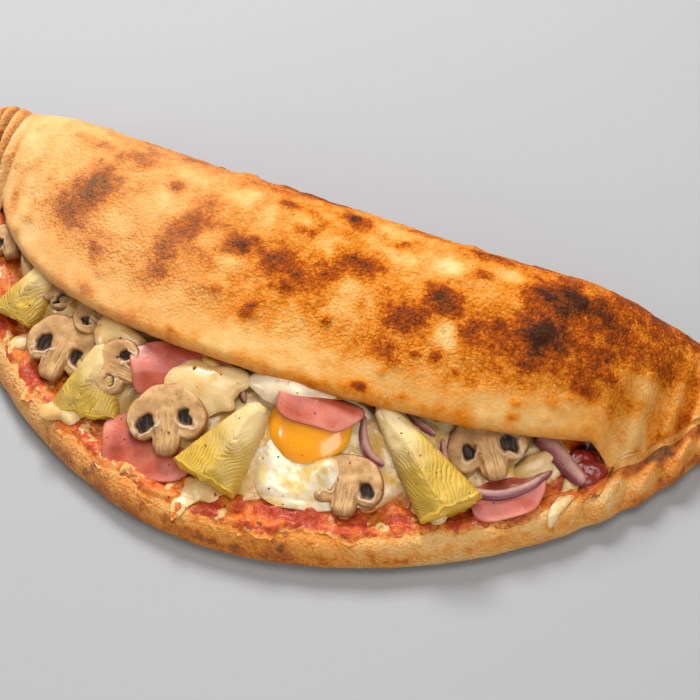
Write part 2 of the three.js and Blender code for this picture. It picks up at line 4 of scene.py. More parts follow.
import bpy
import numpy as np
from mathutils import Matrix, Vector

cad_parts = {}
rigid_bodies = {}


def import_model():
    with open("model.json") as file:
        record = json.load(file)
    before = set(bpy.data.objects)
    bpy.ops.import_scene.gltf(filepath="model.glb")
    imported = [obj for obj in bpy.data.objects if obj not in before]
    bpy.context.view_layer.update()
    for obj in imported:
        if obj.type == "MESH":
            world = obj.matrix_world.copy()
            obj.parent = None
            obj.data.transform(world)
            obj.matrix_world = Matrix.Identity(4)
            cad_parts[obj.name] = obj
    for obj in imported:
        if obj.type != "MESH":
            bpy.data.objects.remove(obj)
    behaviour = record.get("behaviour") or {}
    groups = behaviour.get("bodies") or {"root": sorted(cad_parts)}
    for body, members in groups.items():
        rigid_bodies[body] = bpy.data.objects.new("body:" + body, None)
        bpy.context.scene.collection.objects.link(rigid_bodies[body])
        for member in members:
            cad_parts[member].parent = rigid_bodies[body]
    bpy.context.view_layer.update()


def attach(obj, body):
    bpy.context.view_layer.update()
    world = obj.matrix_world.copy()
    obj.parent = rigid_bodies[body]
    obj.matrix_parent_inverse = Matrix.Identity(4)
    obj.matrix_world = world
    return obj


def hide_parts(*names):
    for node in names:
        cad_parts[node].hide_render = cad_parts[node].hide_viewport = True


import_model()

bl_info = {
    "name": "Baked calzone",
    "version": (1, 0, 0),
    "blender": (4, 5, 0),
    "location": "3D View > Sidebar > Calzone",
    "description": "Finishes a calzone: blistered crust, melted filling and toppings",
    "category": "Object",
}

# Shapes are worked out in millimetres in work axes: x along the fold, y from the mouth (-) to the
# fold (+), z up from the table. to_part() moves them to the part's frame, in metres.
MM = 0.001
SHIFT_X = -5.5
SHIFT_Y = 76.25

# plan of the dough
REACH = 155.0
APEX_X = 3.0
HALF_LEFT = 168.0
HALF_RIGHT = 173.0
ARC_POWER = 1.8
BACK_MID = -5.0
BACK_RISE = 5.5
# flap over the filling
CROWN = 58.0
TIP_HEIGHT = 19.5
CROWN_LEFT = 165.0
CROWN_RIGHT = 153.0
LIP_REACH = 97.0
LIP_X = -25.0
LIP_LEFT = 120.0
LIP_RIGHT = 188.0
LIP_HEIGHT = 36.0
LIP_END_HEIGHT = 20.0
FLAP = 7.0
BEAD = 4.0
FLOOR = 5.5
CREST = 0.45                  # share of the flap's profile behind its crown
# pinched ends
MOUTH_LEFT = -141.0
MOUTH_RIGHT = 139.0
MOUTH_FADE = 12.0
PLEAT_LEFT = 15.0
PLEAT_RIGHT = 17.0
PLEAT_DEPTH = 1.8
END_ROUND = 9.0
END_LEVEL = 8.0
SEAM = 13.0
# crust along the front: distance in from the edge, height
RIM = np.array([
    (27, 5.5), (21.5, 6.6), (16.5, 9.2), (12, 12.2), (8, 13.2), (4, 12.2), (1.0, 8.6), (0, 4.2), (2.4, 0.5),
])
RIM_HIDDEN = 3                # rim points that lie under the sauce
# filling
BED_EDGE = 20.0               # distance in from the edge
BED_LOW = 14.3
BED_UNDER_LIP = 8.0
# how far in from the edge the sauce's ragged margin lies: x, distance
SAUCE_REACH = np.array([(-140, 5.0), (-90, 4.8), (-40, 5.0), (20, 5.2), (80, 5.2), (140, 5.5)])
# soft heaps of the bed: x, y, rise, radius
HEAPS = np.array([
    (-7, -106, 2.2, 11), (-52, -101, 2, 9), (72, -92, 1.5, 9), (115, -80, 1.5, 9), (-112, -72, 1.5, 9),
])


# ------------------------------------------------------------------ settings
class CalzoneShapes(bpy.types.PropertyGroup):
    """Sizes of the fine relief and of the herb flakes"""
    blister_rise: bpy.props.FloatProperty(
        name="Blister rise", description="How far the baked blisters stand up",
        default=0.0016, min=0.0, max=0.005, unit="LENGTH")
    crust_relief: bpy.props.FloatProperty(
        name="Crust relief", description="Height of the crust's small bumps",
        default=0.00055, min=0.0, max=0.003, unit="LENGTH")
    grain_size: bpy.props.FloatProperty(
        name="Grain size", description="Size of the crisp grain on the baked crust",
        default=0.0011, min=0.0003, max=0.005, unit="LENGTH")
    gill_depth: bpy.props.FloatProperty(
        name="Gill hollow depth", description="Depth of the dark hollows beside a mushroom's stem",
        default=0.0014, min=0.0, max=0.004, unit="LENGTH")
    leaf_pitch: bpy.props.FloatProperty(
        name="Leaf pitch", description="Thickness of one leaf layer in an artichoke heart",
        default=0.0015, min=0.0005, max=0.005, unit="LENGTH")
    speck_count: bpy.props.IntProperty(
        name="Herb flakes", description="Number of dark herb flakes strewn over the filling",
        default=420, min=0, max=2000)
    speck_size: bpy.props.FloatProperty(
        name="Flake size", description="Length of a common herb flake",
        default=0.00065, min=0.0002, max=0.003, unit="LENGTH")


def colour_property(label, described, value):
    """One colour of the panel."""
    return bpy.props.FloatVectorProperty(
        name=label, description=described, default=value, size=3, min=0.0, max=1.0, subtype="COLOR")


class CalzoneColours(bpy.types.PropertyGroup):
    """Colours of the crust, the filling and the toppings"""
    crust_cream: colour_property("Crust cream", "Least baked dough", (0.65, 0.43, 0.18))
    crust_pale: colour_property("Crust pale", "Barely coloured dough", (0.62, 0.345, 0.110))
    crust_gold: colour_property("Crust gold", "Lightly baked dough", (0.60, 0.255, 0.050))
    crust_orange: colour_property("Crust orange", "Evenly baked dough", (0.55, 0.160, 0.006))
    crust_amber: colour_property("Crust amber", "Well baked dough", (0.31, 0.053, 0.001))
    crust_brown: colour_property("Crust brown", "Dark baked dough", (0.160, 0.032, 0.003))
    crust_char: colour_property("Crust char", "Burnt blister tops", (0.045, 0.014, 0.005))
    crust_dust: colour_property("Crust dust", "Flour left on the dough", (0.60, 0.335, 0.155))
    sauce_red: colour_property("Sauce red", "Tomato sauce", (0.42, 0.042, 0.006))
    sauce_orange: colour_property("Sauce orange", "Baked oily sauce", (0.52, 0.120, 0.006))
    cheese_oil: colour_property("Cheese oil", "Yellow oily cheese", (0.56, 0.32, 0.060))
    cheese_cream: colour_property("Cheese cream", "Melted cheese", (0.60, 0.42, 0.19))
    cheese_white: colour_property("Cheese white", "Soft white cheese", (0.66, 0.54, 0.36))
    yolk_orange: colour_property("Yolk orange", "Egg yolk", (0.95, 0.36, 0.004))
    mushroom_flesh: colour_property("Mushroom flesh", "Cut face of a mushroom", (0.43, 0.225, 0.080))
    mushroom_skin: colour_property("Mushroom skin", "Skin round the cap", (0.24, 0.085, 0.022))
    # near-black of the gill hollows: the gills' own dark brown and painted shade
    gill_dark_and_shade: colour_property("Gill", "Dark gill hollows", (0.016, 0.008, 0.005))
    heart_cream: colour_property("Heart cream", "Pale flesh of an artichoke heart", (0.57, 0.40, 0.16))
    leaf_yellow: colour_property("Leaf yellow", "Leaf ends of an artichoke heart", (0.56, 0.330, 0.026))
    ham_pink: colour_property("Ham pink", "Cooked ham", (0.40, 0.068, 0.030))
    onion_purple: colour_property("Onion purple", "Skin side of a red onion strip", (0.22, 0.045, 0.055))
    onion_white: colour_property("Onion white", "Inner side of an onion strip", (0.40, 0.20, 0.14))
    tomato_red: colour_property("Tomato red", "Cooked tomato", (0.22, 0.011, 0.005))
    herb_dark: colour_property("Herb", "Dried herb flakes", (0.030, 0.016, 0.009))


class CalzoneStage(bpy.types.PropertyGroup):
    """Camera and floor"""
    azimuth: bpy.props.FloatProperty(
        name="Camera azimuth", description="Turn of the camera round the part",
        default=math.radians(24.4), subtype="ANGLE")
    elevation: bpy.props.FloatProperty(
        name="Camera elevation", description="Height of the camera above the table as an angle",
        default=math.radians(51.0), subtype="ANGLE")
    distance: bpy.props.FloatProperty(
        name="Camera distance", description="From the camera to the point it looks at",
        default=0.6728, unit="LENGTH")
    target: bpy.props.FloatVectorProperty(
        name="Camera target", description="Point that the camera looks at",
        default=(0.0233, 0.01555, 0.020), size=3, subtype="XYZ", unit="LENGTH")
    lens: bpy.props.FloatProperty(
        name="Lens", description="Focal length in millimetres", default=90.0, min=10.0)
    floor_colour: colour_property("Floor", "Table under the calzone", (0.277, 0.277, 0.280))


# ------------------------------------------------------------------ small maths
def smooth(low, high, value):
    """Smooth step: 0 at low, 1 at high, 3t^2 - 2t^3 between; it falls where low is above high."""
    t = np.clip((value - low) / (high - low), 0.0, 1.0)
    return t * t * (3.0 - 2.0 * t)


def mix(a, b, t):
    """Straight blend: a at t = 0, b at t = 1."""
    return a + (b - a) * t


def bell(value, width=1.0):
    """Bell curve: 1 at zero, falling off over the width."""
    return np.exp(-(value / width) ** 2)


def own_axes(dx, dy, degrees):
    """An offset seen along and across a direction turned by so many degrees."""
    a = math.radians(degrees)
    return dx * math.cos(a) + dy * math.sin(a), -dx * math.sin(a) + dy * math.cos(a)


def rotation(axis, angle):
    """Matrix that turns points about axis 0, 1 or 2, by the cosine and sine of the angle."""
    i, j = (axis + 1) % 3, (axis + 2) % 3
    turn = np.eye(3)
    turn[i, i] = turn[j, j] = math.cos(angle)
    turn[i, j], turn[j, i] = -math.sin(angle), math.sin(angle)
    return turn


def flat_at(x, y, z=0.0):
    """Points at x and y, all at one height."""
    return np.stack([np.broadcast_to(x, y.shape), y, np.full(y.shape, float(z))], -1)


HASH_STEPS = (374761393, 668265263, 2147483647)   # odd factors that scatter the lattice's three indices
HASH_SEED = 974711
HASH_MIX = 1274126177


def lattice_noise(points, size, seed):
    """Value noise, -1 to 1: heights hashed on a cubic lattice, blended by a smooth step between corners."""
    scaled = points / size
    cell = np.floor(scaled).astype(np.int64)
    part = scaled - cell
    part = part * part * (3.0 - 2.0 * part)
    total = np.zeros(points.shape[:-1])
    for corner in np.ndindex(2, 2, 2):
        at = cell + np.array(corner)
        mixed = sum(at[..., k] * step for k, step in enumerate(HASH_STEPS)) + seed * HASH_SEED
        mixed = ((mixed ^ (mixed >> 13)) * HASH_MIX) & 0x7FFFFFFF
        height = ((mixed ^ (mixed >> 16)) & 0xFFFF) / 32767.5 - 1.0
        weight = np.prod(np.where(np.array(corner) == 1, part, 1.0 - part), axis=-1)
        total += weight * height
    return total


def layered_noise(points, size, layers, seed):
    """Sum of value noises, each half as large and half as strong as the last."""
    return sum(lattice_noise(points, size / 2 ** i, seed + i) / 2 ** i for i in range(layers))


def through(points, count):
    """Catmull-Rom curve through the points, sampled at even steps of its index."""
    points = np.asarray(points, float)
    padded = np.vstack([2 * points[0] - points[1], points, 2 * points[-1] - points[-2]])
    at = np.linspace(0, len(points) - 1, count)
    i = np.minimum(at.astype(int), len(points) - 2)
    t = (at - i)[:, None]
    a, b, c, d = padded[i], padded[i + 1], padded[i + 2], padded[i + 3]
    return 0.5 * (2 * b + (c - a) * t + (2 * a - 5 * b + 4 * c - d) * t ** 2 + (3 * b - a - 3 * c + d) * t ** 3)


def surface_normals(grid):
    """Unit normals of a grid of points that closes on itself across its second axis."""
    along = np.gradient(grid, axis=0)
    wrapped = np.concatenate([grid[:, -1:], grid, grid[:, :1]], axis=1)
    across = wrapped[:, 2:] - wrapped[:, :-2]
    normal = np.cross(across, along)
    length = np.linalg.norm(normal, axis=-1, keepdims=True)
    return normal / np.maximum(length, 1e-9)


# ------------------------------------------------------------------ form of the dough
def tipward(x):
    """Share of the way from the apex to the tip on its side, 0 to 1."""
    return np.clip(np.where(x < APEX_X, (APEX_X - x) / HALF_LEFT, (x - APEX_X) / HALF_RIGHT), 0.0, 1.0)


def front_y(x):
    """Half-moon edge: a superellipse from tip to tip."""
    return -REACH * (1 - tipward(x) ** ARC_POWER) ** (1 / ARC_POWER)


def back_y(x):
    """Fold line: nearly straight, bowed by a parabola, closing at the tips."""
    return (BACK_MID + BACK_RISE * (x / 130) ** 2) * np.sqrt(1 - tipward(x) ** 8)


def lip_y(x):
    """Free edge of the flap: a superellipse about LIP_X."""
    left = x < LIP_X
    s = np.clip(np.where(left, (LIP_X - x) / LIP_LEFT, (x - LIP_X) / LIP_RIGHT), 0.0, 1.0)
    power = np.where(left, 2.2, 2.4)
    return -LIP_REACH * (1 - s ** power) ** (1 / power)


def lip_z(x):
    """Height of the lip: highest in the middle, falling by a power of 2.6 towards both ends."""
    return LIP_END_HEIGHT + (LIP_HEIGHT - LIP_END_HEIGHT) * (1 - np.clip(np.abs(x) / 140, 0, 1) ** 2.6)


def crown_z(x):
    """Height of the flap's crown: CROWN in the middle, a power curve down to TIP_HEIGHT."""
    half = np.where(x < 0, CROWN_LEFT, CROWN_RIGHT)
    power = np.where(x < 0, 3.0, 5.2)
    return TIP_HEIGHT + (CROWN - TIP_HEIGHT) * (1 - np.clip(np.abs(x) / half, 0, 1) ** power)


def rim_scale(x):
    """Stretch of the rim's section where the edge runs askew, limited, and squeezed at the tips."""
    slope = front_y(x + 0.5) - front_y(x - 0.5)
    return np.minimum(np.minimum(np.sqrt(1 + slope * slope), 1.65), (back_y(x) - front_y(x)) / 34)


def arch(x, v, end_y, end_z):
    """Flap profile: a quarter ellipse up the back to the crown, then a falling power curve to the end."""
    back = back_y(x)
    height = np.maximum(crown_z(x), end_z + 0.5)
    low = np.minimum(13, 0.45 * height)
    crown_y = back + (end_y - back) * 0.36
    turn = np.clip(v / CREST, 0, 1) * np.pi / 2
    q = np.clip((v - CREST) / (1 - CREST), 0, 1)
    behind = v < CREST
    y = np.where(behind, crown_y + (back - crown_y) * np.cos(turn), crown_y + (end_y - crown_y) * q)
    z = np.where(behind, low + (height - low) * np.sin(turn), height - (height - end_z) * q ** 2.1)
    return np.stack([y, z], -1)


def swell(x, v):
    """Low swells of the flap: two products of sine waves that fade at both ends of the face."""
    broad = np.sin(x / 17 + 1.3) * np.sin(4.2 * v + 0.4)
    fine = np.sin(x / 9.5 - 5 * v) * np.sin(7 * v + x / 31)
    return (0.9 * broad + 0.6 * fine) * np.sin(np.pi * np.clip(v * 1.02, 0, 1))


def openness(x):
    """1 where the mouth is open, down to 0 by a smooth step at its two ends."""
    return smooth(0, MOUTH_FADE, np.minimum(x - MOUTH_LEFT, MOUTH_RIGHT - x))


def square_to(run):
    """Unit directions square to runs of (y, z) points, to the right of travel."""
    step = np.gradient(run, axis=1)
    length = np.maximum(np.linalg.norm(step, axis=-1, keepdims=True), 1e-9)
    return np.stack([-step[..., 1], step[..., 0]], -1) / length


def edge_length(x):
    """Length of the front edge from the left tip to each x."""
    start = APEX_X - HALF_LEFT
    share = np.linspace(0, 1, 301) ** 2
    at = mix(start, x[:, None], share[None, :])
    return np.sum(np.hypot(np.diff(at, axis=1), np.diff(front_y(at), axis=1)), axis=1)


def flap_run(x, v):
    """Outer face of the open flap as (y, z) runs, with its low swells."""
    bead = np.stack([lip_y(x) + 0.777 * BEAD, lip_z(x) + 0.629 * BEAD], -1)
    end_y = bead[..., 0] - 0.5 * BEAD
    end_z = bead[..., 1] + 0.866 * BEAD
    face = arch(x, v, end_y, end_z)
    return face, face - square_to(face) * swell(x, v)[..., None], bead


def pleat_wave(x):
    """Cosine along the edge, one crest for every pleat."""
    pitch = np.where(x < 0, PLEAT_LEFT, PLEAT_RIGHT)
    return np.cos(2 * np.pi * edge_length(x[:, 0])[:, None] / pitch)


def pleated(x, run):
    """Finger pleats: a cosine along the edge that fades inwards and where the mouth is open."""
    wave = pleat_wave(x)
    inside = (run[..., 0] - front_y(x)) / rim_scale(x)
    band = (1 - openness(x)) * smooth(30, 14, inside)
    rise = PLEAT_DEPTH * wave * band * np.clip(run[..., 1] / 13, 0, 1)
    push = 1.3 * wave * band * smooth(6, 0, inside)
    return run + np.stack([-push, rise], -1)


def finished(x, run):
    """Knobs of twisted dough near the tips, and the rounding of the very ends."""
    distance = np.minimum(x - (APEX_X - HALF_LEFT), APEX_X + HALF_RIGHT - x)
    rounding = np.sqrt(1 - (1 - np.clip(distance / END_ROUND, 0, 1)) ** 2)
    knob = 3 * bell(x + 160, 6) + 3 * bell(x - 160, 8)
    y, z = run[..., 0], run[..., 1]
    raised = z + knob * np.clip((z - 9) / 9, 0, 1) * bell(y + 5, 14)
    return np.stack([y, END_LEVEL + (raised - END_LEVEL) * rounding], -1)


# ------------------------------------------------------------------ form of the filling
def sauce_top(x, y):
    """Height of the sauce: nearly level with a faint ripple, then falling inwards under the cheese."""
    t = (y - front_y(x)) / rim_scale(x)
    near = mix(12.3, 12.9, smooth(12, 17, t)) + 0.35 * np.sin(x / 5.5 + t / 3)
    return np.where(t < 20, near, mix(12.7, 8.6, smooth(20, 42, t)))


def bed_top(x, y):
    """Melted cheese rises from the rim to just under the flap, with soft heaps."""
    near = front_y(x) + BED_EDGE * rim_scale(x)
    t = np.clip((y - near) / (lip_y(x) - near), 0, 1)
    heaps = sum(rise * bell(np.hypot(x - at_x, y - at_y), size) for at_x, at_y, rise, size in HEAPS)
    return BED_LOW + (lip_z(x) - BED_UNDER_LIP - BED_LOW) * t ** 0.9 + heaps


def bed_pitch(x, y):
    """Slope angle of the bed, from its heights 6 mm before and behind."""
    return math.atan2(float(bed_top(x, y + 6) - bed_top(x, y - 6)), 12)


def laid(points, at, lift, yaw, tilt=0.0, roll=0.0):
    """Turns a topping about its own middle and sets it on the sloping bed."""
    x, y = at
    pitch = bed_pitch(x, y) + math.radians(tilt)
    turned = points @ (rotation(0, pitch) @ rotation(2, math.radians(yaw)) @ rotation(1, math.radians(roll))).T
    return turned + np.array([x, y, float(bed_top(x, y)) + lift])


# ------------------------------------------------------------------ meshes
def to_part(points):
    """Work axes in millimetres to the part's frame in metres."""
    return (np.asarray(points, float) + np.array([SHIFT_X, SHIFT_Y, 0.0])) * MM


def new_piece(name, points, quads, triangles, nodes, material, values=None):
    """Makes a closed mesh piece from whole arrays, with its point values, puts it on the root body and hides
    its CAD nodes.
    """
    quads = np.asarray(quads, np.int32).reshape(-1, 4)
    triangles = np.asarray(triangles, np.int32).reshape(-1, 3)
    points = to_part(points)
    mesh = bpy.data.meshes.new(name)
    mesh.vertices.add(len(points))
    mesh.vertices.foreach_set("co", points.astype(np.float32).ravel())
    corners = np.concatenate([quads.ravel(), triangles.ravel()])
    starts = np.concatenate([np.arange(len(quads)) * 4, quads.size + np.arange(len(triangles)) * 3])
    mesh.loops.add(len(corners))
    mesh.loops.foreach_set("vertex_index", corners.astype(np.int32))
    mesh.polygons.add(len(starts))
    mesh.polygons.foreach_set("loop_start", starts.astype(np.int32))
    mesh.polygons.foreach_set("use_smooth", np.ones(len(starts), bool))
    mesh.update(calc_edges=True)
    if mesh.validate():
        raise RuntimeError(f"{name} has broken faces")
    for key, value in (values or {}).items():
        layer = mesh.attributes.new(key, "FLOAT", "POINT")
        layer.data.foreach_set("value", np.asarray(value, np.float32).ravel())
    mesh.materials.append(material)
    piece = bpy.data.objects.new(name, mesh)
    bpy.context.scene.collection.objects.link(piece)
    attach(piece, "root")
    if nodes:
        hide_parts(*nodes)
    return piece


def tube_faces(rows, columns, flip=False):
    """Quads of a tube of rings and the triangles that close its two ends on middle points added last."""
    i, j = np.meshgrid(np.arange(rows - 1), np.arange(columns), indexing="ij")
    a = i * columns + j
    b = i * columns + (j + 1) % columns
    quads = np.stack([a, b, b + columns, a + columns], -1).reshape(-1, 4)
    j = np.arange(columns)
    k = (j + 1) % columns
    first, last = rows * columns, rows * columns + 1
    start = np.stack([np.full(columns, first), k, j], -1)
    end = (rows - 1) * columns
    stop = np.stack([np.full(columns, last), end + j, end + k], -1)
    triangles = np.concatenate([start, stop])
    return (quads[:, ::-1], triangles[:, ::-1]) if flip else (quads, triangles)


def signed_volume(points, quads, triangles):
    """Sum of the tetrahedra from the origin to each triangle, below zero if faces point inward."""
    split = np.concatenate([quads[:, [0, 1, 2]], quads[:, [0, 2, 3]], triangles])
    a, b, c = (points[split[:, k]] for k in range(3))
    return float(np.sum(a * np.cross(b, c))) / 6


def tube_piece(name, grid, nodes, material, values=None):
    """Piece from a grid whose rows are closed rings; both ends are capped, faces turned outward."""
    rows, columns = grid.shape[:2]
    points = np.concatenate([grid.reshape(-1, 3), grid[:1].mean(1), grid[-1:].mean(1)])
    quads, triangles = tube_faces(rows, columns)
    if signed_volume(points, quads, triangles) < 0:
        quads, triangles = tube_faces(rows, columns, flip=True)
    full = {}
    for key, value in (values or {}).items():
        value = np.broadcast_to(value, (rows, columns))
        full[key] = np.concatenate([value.ravel(), [value[0].mean()], [value[-1].mean()]])
    return new_piece(name, points, quads, triangles, nodes, material, full)


def disc_grid(rings, sectors, crowd=1.0):
    """Radius and angle of a disc's grid; crowd under 1 packs the rings towards the edge."""
    radius = (np.arange(1, rings + 1) / rings) ** crowd
    angle = 2 * np.pi * np.arange(sectors) / sectors
    return np.meshgrid(radius, angle, indexing="ij")


def disc_piece(name, top, bottom, top_pole, bottom_pole, nodes, slot, material, values=None):
    """Piece like a coin: top and bottom grids share their outer ring's seam and meet poles in the middle."""
    rings, sectors = top.shape[:2]
    upper, lower = top.reshape(-1, 3), bottom.reshape(-1, 3)
    points = np.concatenate([upper, lower, [top_pole], [bottom_pole]])
    i, j = np.meshgrid(np.arange(rings - 1), np.arange(sectors), indexing="ij")
    a, b = i * sectors + j, i * sectors + (j + 1) % sectors
    sheet = np.stack([a, a + sectors, b + sectors, b], -1).reshape(-1, 4)
    count = rings * sectors
    j = np.arange(sectors)
    k = (j + 1) % sectors
    edge = (rings - 1) * sectors
    wall = np.stack([edge + j, count + edge + j, count + edge + k, edge + k], -1)
    quads = np.concatenate([sheet, sheet[:, ::-1] + count, wall])
    upper_fan = np.stack([np.full(sectors, 2 * count), j, k], -1)
    lower_fan = np.stack([np.full(sectors, 2 * count + 1), count + k, count + j], -1)
    triangles = np.concatenate([upper_fan, lower_fan])
    if signed_volume(points, quads, triangles) < 0:
        quads, triangles = quads[:, ::-1], triangles[:, ::-1]
    full = {}
    for key, (above, below) in (values or {}).items():
        above, below = (np.broadcast_to(side, (rings, sectors)) for side in (above, below))
        ends = [above[0].mean(), below[0].mean()]
        full[key] = np.concatenate([above.ravel(), below.ravel(), ends])
    return new_piece(name, points, quads, triangles, nodes, material, full)


# ------------------------------------------------------------------ materials
# how far light goes under the skin, in metres for red, green and blue
MELT_DEPTH = (0.004, 0.002, 0.001)
CHEESE_DEPTH = (0.003, 0.0018, 0.0009)
WHITE_DEPTH = (0.003, 0.0018, 0.001)
ONION_DEPTH = (0.002, 0.001, 0.001)
COAT_ROUGHNESS = 0.15
# shades that the finishes need beside the panel's colours
SAUCE_MELT = (0.62, 0.38, 0.16)
SAUCE_BURNT = (0.16, 0.036, 0.006)
# painted near-black shade for the pit beside the tomato
HOLLOW_SHADE = (0.012, 0.004, 0.003)
MUSHROOM_PALE = (0.56, 0.35, 0.16)
MUSHROOM_TOASTED = (0.24, 0.10, 0.032)
MUSHROOM_EDGE = (0.56, 0.40, 0.24)
GILL_RIB = (0.10, 0.055, 0.035)
# painted light on artichoke leaf edges and painted shade in the slits between them
LEAF_LIT = (0.62, 0.43, 0.13)
LEAF_SLIT_SHADE = (0.10, 0.045, 0.003)
HEART_STAIN = (0.32, 0.14, 0.02)
HAM_PALE = (0.60, 0.24, 0.13)
HAM_MARBLE = (0.58, 0.24, 0.14)
HAM_FAT = (0.58, 0.22, 0.15)
HAM_EDGE = (0.30, 0.055, 0.02)
WHITE_STAIN = (0.62, 0.28, 0.03)
WHITE_YELLOW = (0.62, 0.42, 0.12)
MELT_STAIN = (0.52, 0.20, 0.045)
# shares of the base colour in the dark, middle and light clouds of a melt
MELT_TONES = ((0.92, 0.72, 0.42), (0.96, 0.90, 0.80), 1.06)
SOFT_TONES = ((0.86, 0.72, 0.70), (0.95, 0.90, 0.88), 1.04)
FLAKE_SEED = 5
FLAKE_RIM = (3, 22, 0.012)    # flakes on the crust: distances in from the edge, share of the filling's chance
FLAKE_LIFT = 0.00012
FLAKE_SHADES = ((0.10, 0.022, 0.006), (0.22, 0.035, 0.006))


def rgba(colour):
    """Opaque colour with no channel above 1."""
    return (*[min(1.0, c) for c in colour], 1.0)


class Field:
    """A value or colour worked out by shader nodes; +, - and * between fields and numbers add a node."""

    def __init__(self, look, socket):
        self.look, self.socket = look, socket

    def calc(self, operation, a, b=0.0):
        """One step of arithmetic."""
        return self.look.field("ShaderNodeMath", {0: a, 1: b}, operation=operation)

    def __add__(self, other):
        return self.calc("ADD", self, other)

    def __sub__(self, other):
        return self.calc("SUBTRACT", self, other)

    def __rsub__(self, other):
        return self.calc("SUBTRACT", other, self)

    def __mul__(self, other):
        return self.calc("MULTIPLY", self, other)


class Look:
    """One material under construction: its node tree, its shader and the fields made for it."""

    def __init__(self, name, roughness, subsurface=0.0, radius=MELT_DEPTH, coat=0.0, specular=0.5):
        self.material = bpy.data.materials.new(name)
        self.material.use_nodes = True
        self.tree = self.material.node_tree
        self.tree.nodes.clear()
        output = self.tree.nodes.new("ShaderNodeOutputMaterial")
        self.shader = self.node("ShaderNodeBsdfPrincipled", {
            "Roughness": roughness, "Specular IOR Level": specular, "Subsurface Weight": subsurface,
            "Subsurface Radius": radius, "Subsurface Scale": 1.0, "Coat Weight": coat,
            "Coat Roughness": COAT_ROUGHNESS})
        self.tree.links.new(self.shader.outputs["BSDF"], output.inputs["Surface"])
        self.place = self.field("ShaderNodeTexCoord", output="Object")

    def node(self, kind, links=None, **settings):
        """Adds a node: fields are linked to its inputs, other values are set on them."""
        made = self.tree.nodes.new(kind)
        for key, value in settings.items():
            setattr(made, key, value)
        for key, value in (links or {}).items():
            if isinstance(value, Field):
                self.tree.links.new(value.socket, made.inputs[key])
            else:
                made.inputs[key].default_value = value
        return made

    def field(self, kind, links=None, output=0, **settings):
        """One output of a new node."""
        return Field(self, self.node(kind, links, **settings).outputs[output])

    def noise(self, size, detail=3.0, roughness=0.55, distortion=0.0, at=None):
        """Layered noise, 0 to 1, of a given size in metres."""
        links = {"Vector": at or self.place, "Scale": 1.0 / size, "Detail": detail, "Roughness": roughness,
                 "Distortion": distortion}
        return self.field("ShaderNodeTexNoise", links, "Fac")

    def speckle(self, size):
        """Distance to the nearest of scattered cell points."""
        return self.field("ShaderNodeTexVoronoi", {"Vector": self.place, "Scale": 1.0 / size}, "Distance")

    def value(self, name):
        """The piece's own point values of this name."""
        return self.field("ShaderNodeAttribute", output="Fac", attribute_name=name)

    def spread(self, value, low, high, to_low=0.0, to_high=1.0):
        """Smooth step of a field from to_low at low to to_high at high."""
        links = {"Value": value, "From Min": low, "From Max": high, "To Min": to_low, "To Max": to_high}
        return self.field("ShaderNodeMapRange", links, "Result", interpolation_type="SMOOTHSTEP")

    def ramp(self, value, stops):
        """Colour read off a row of stops by a value."""
        made = self.node("ShaderNodeValToRGB", {"Fac": value})
        points = made.color_ramp.elements
        while len(points) < len(stops):
            points.new(0.5)
        for point, (position, colour) in zip(points, stops):
            point.position = position
            point.color = rgba(colour)
        return Field(self, made.outputs["Color"])

    def blend(self, share, a, b):
        """Colour a where the share is 0, colour b where it is 1."""
        a, b = (colour if isinstance(colour, Field) else rgba(colour) for colour in (a, b))
        return self.field("ShaderNodeMix", {0: share, 6: a, 7: b}, 2, data_type="RGBA", blend_type="MIX")

    def bump(self, height, distance, strength=1.0, below=None):
        """Normal tilted by the slope of a height."""
        links = {"Height": height, "Distance": distance, "Strength": strength}
        if below:
            links["Normal"] = below
        return self.field("ShaderNodeBump", links, "Normal")

    def done(self, colour, normal=None, roughness=None):
        """Ties the fields to the shader and hands over the material."""
        for key, field in (("Base Color", colour), ("Normal", normal), ("Roughness", roughness)):
            if field:
                self.tree.links.new(field.socket, self.shader.inputs[key])
        return self.material


def crust_material():
    """Baked dough: the baking value plus broad and fine mottling picks a colour from cream to char."""
    colours, shapes = bpy.context.scene.calzone_colours, bpy.context.scene.calzone_shapes
    look = Look("baked_crust", 0.6, specular=0.07)
    bake, crisp, dust = (look.value(name) for name in ("bake", "crisp", "dust"))
    broad = look.noise(0.012, 4.0, 0.58, 0.5)
    middle = look.noise(0.0034, 3.0, 0.6, 0.5)
    grain = look.noise(shapes.grain_size, 2.5, 0.62, 0.6)
    granule = look.speckle(shapes.grain_size * 1.2)
    # browning sits on the tops of the grain, so its contrast grows with the baking
    contrast = (bake * 0.48 + 0.13) * crisp
    value = (broad - 0.5) * (bake * 0.40 + 0.36) + bake
    value = (middle - 0.5) * (bake * 0.55 + 0.17) + value
    value = (grain - 0.5) * contrast + value
    # painted light and shade on the granules: the gaps between them darker, their raised tops lighter
    value = (granule - 0.42) * (contrast * 0.35) + value
    colour = look.ramp(value, [
        (0.0, colours.crust_cream), (0.18, colours.crust_pale), (0.36, colours.crust_gold),
        (0.53, colours.crust_orange), (0.70, colours.crust_amber), (0.86, colours.crust_brown),
        (1.0, colours.crust_char),
    ])
    colour = look.blend(dust * look.spread(grain, 0.35, 0.65, 0.35, 1.0), colour, colours.crust_dust)
    coarse = look.bump(middle, 0.0008, crisp * 0.4)
    fine = look.bump(grain, 0.0011, crisp * 0.9, coarse)
    top = look.bump(1.0 - granule, 0.0006, crisp * 0.9, fine)
    return look.done(colour, top, look.spread(grain, 0.35, 0.75, 0.75, 0.45))


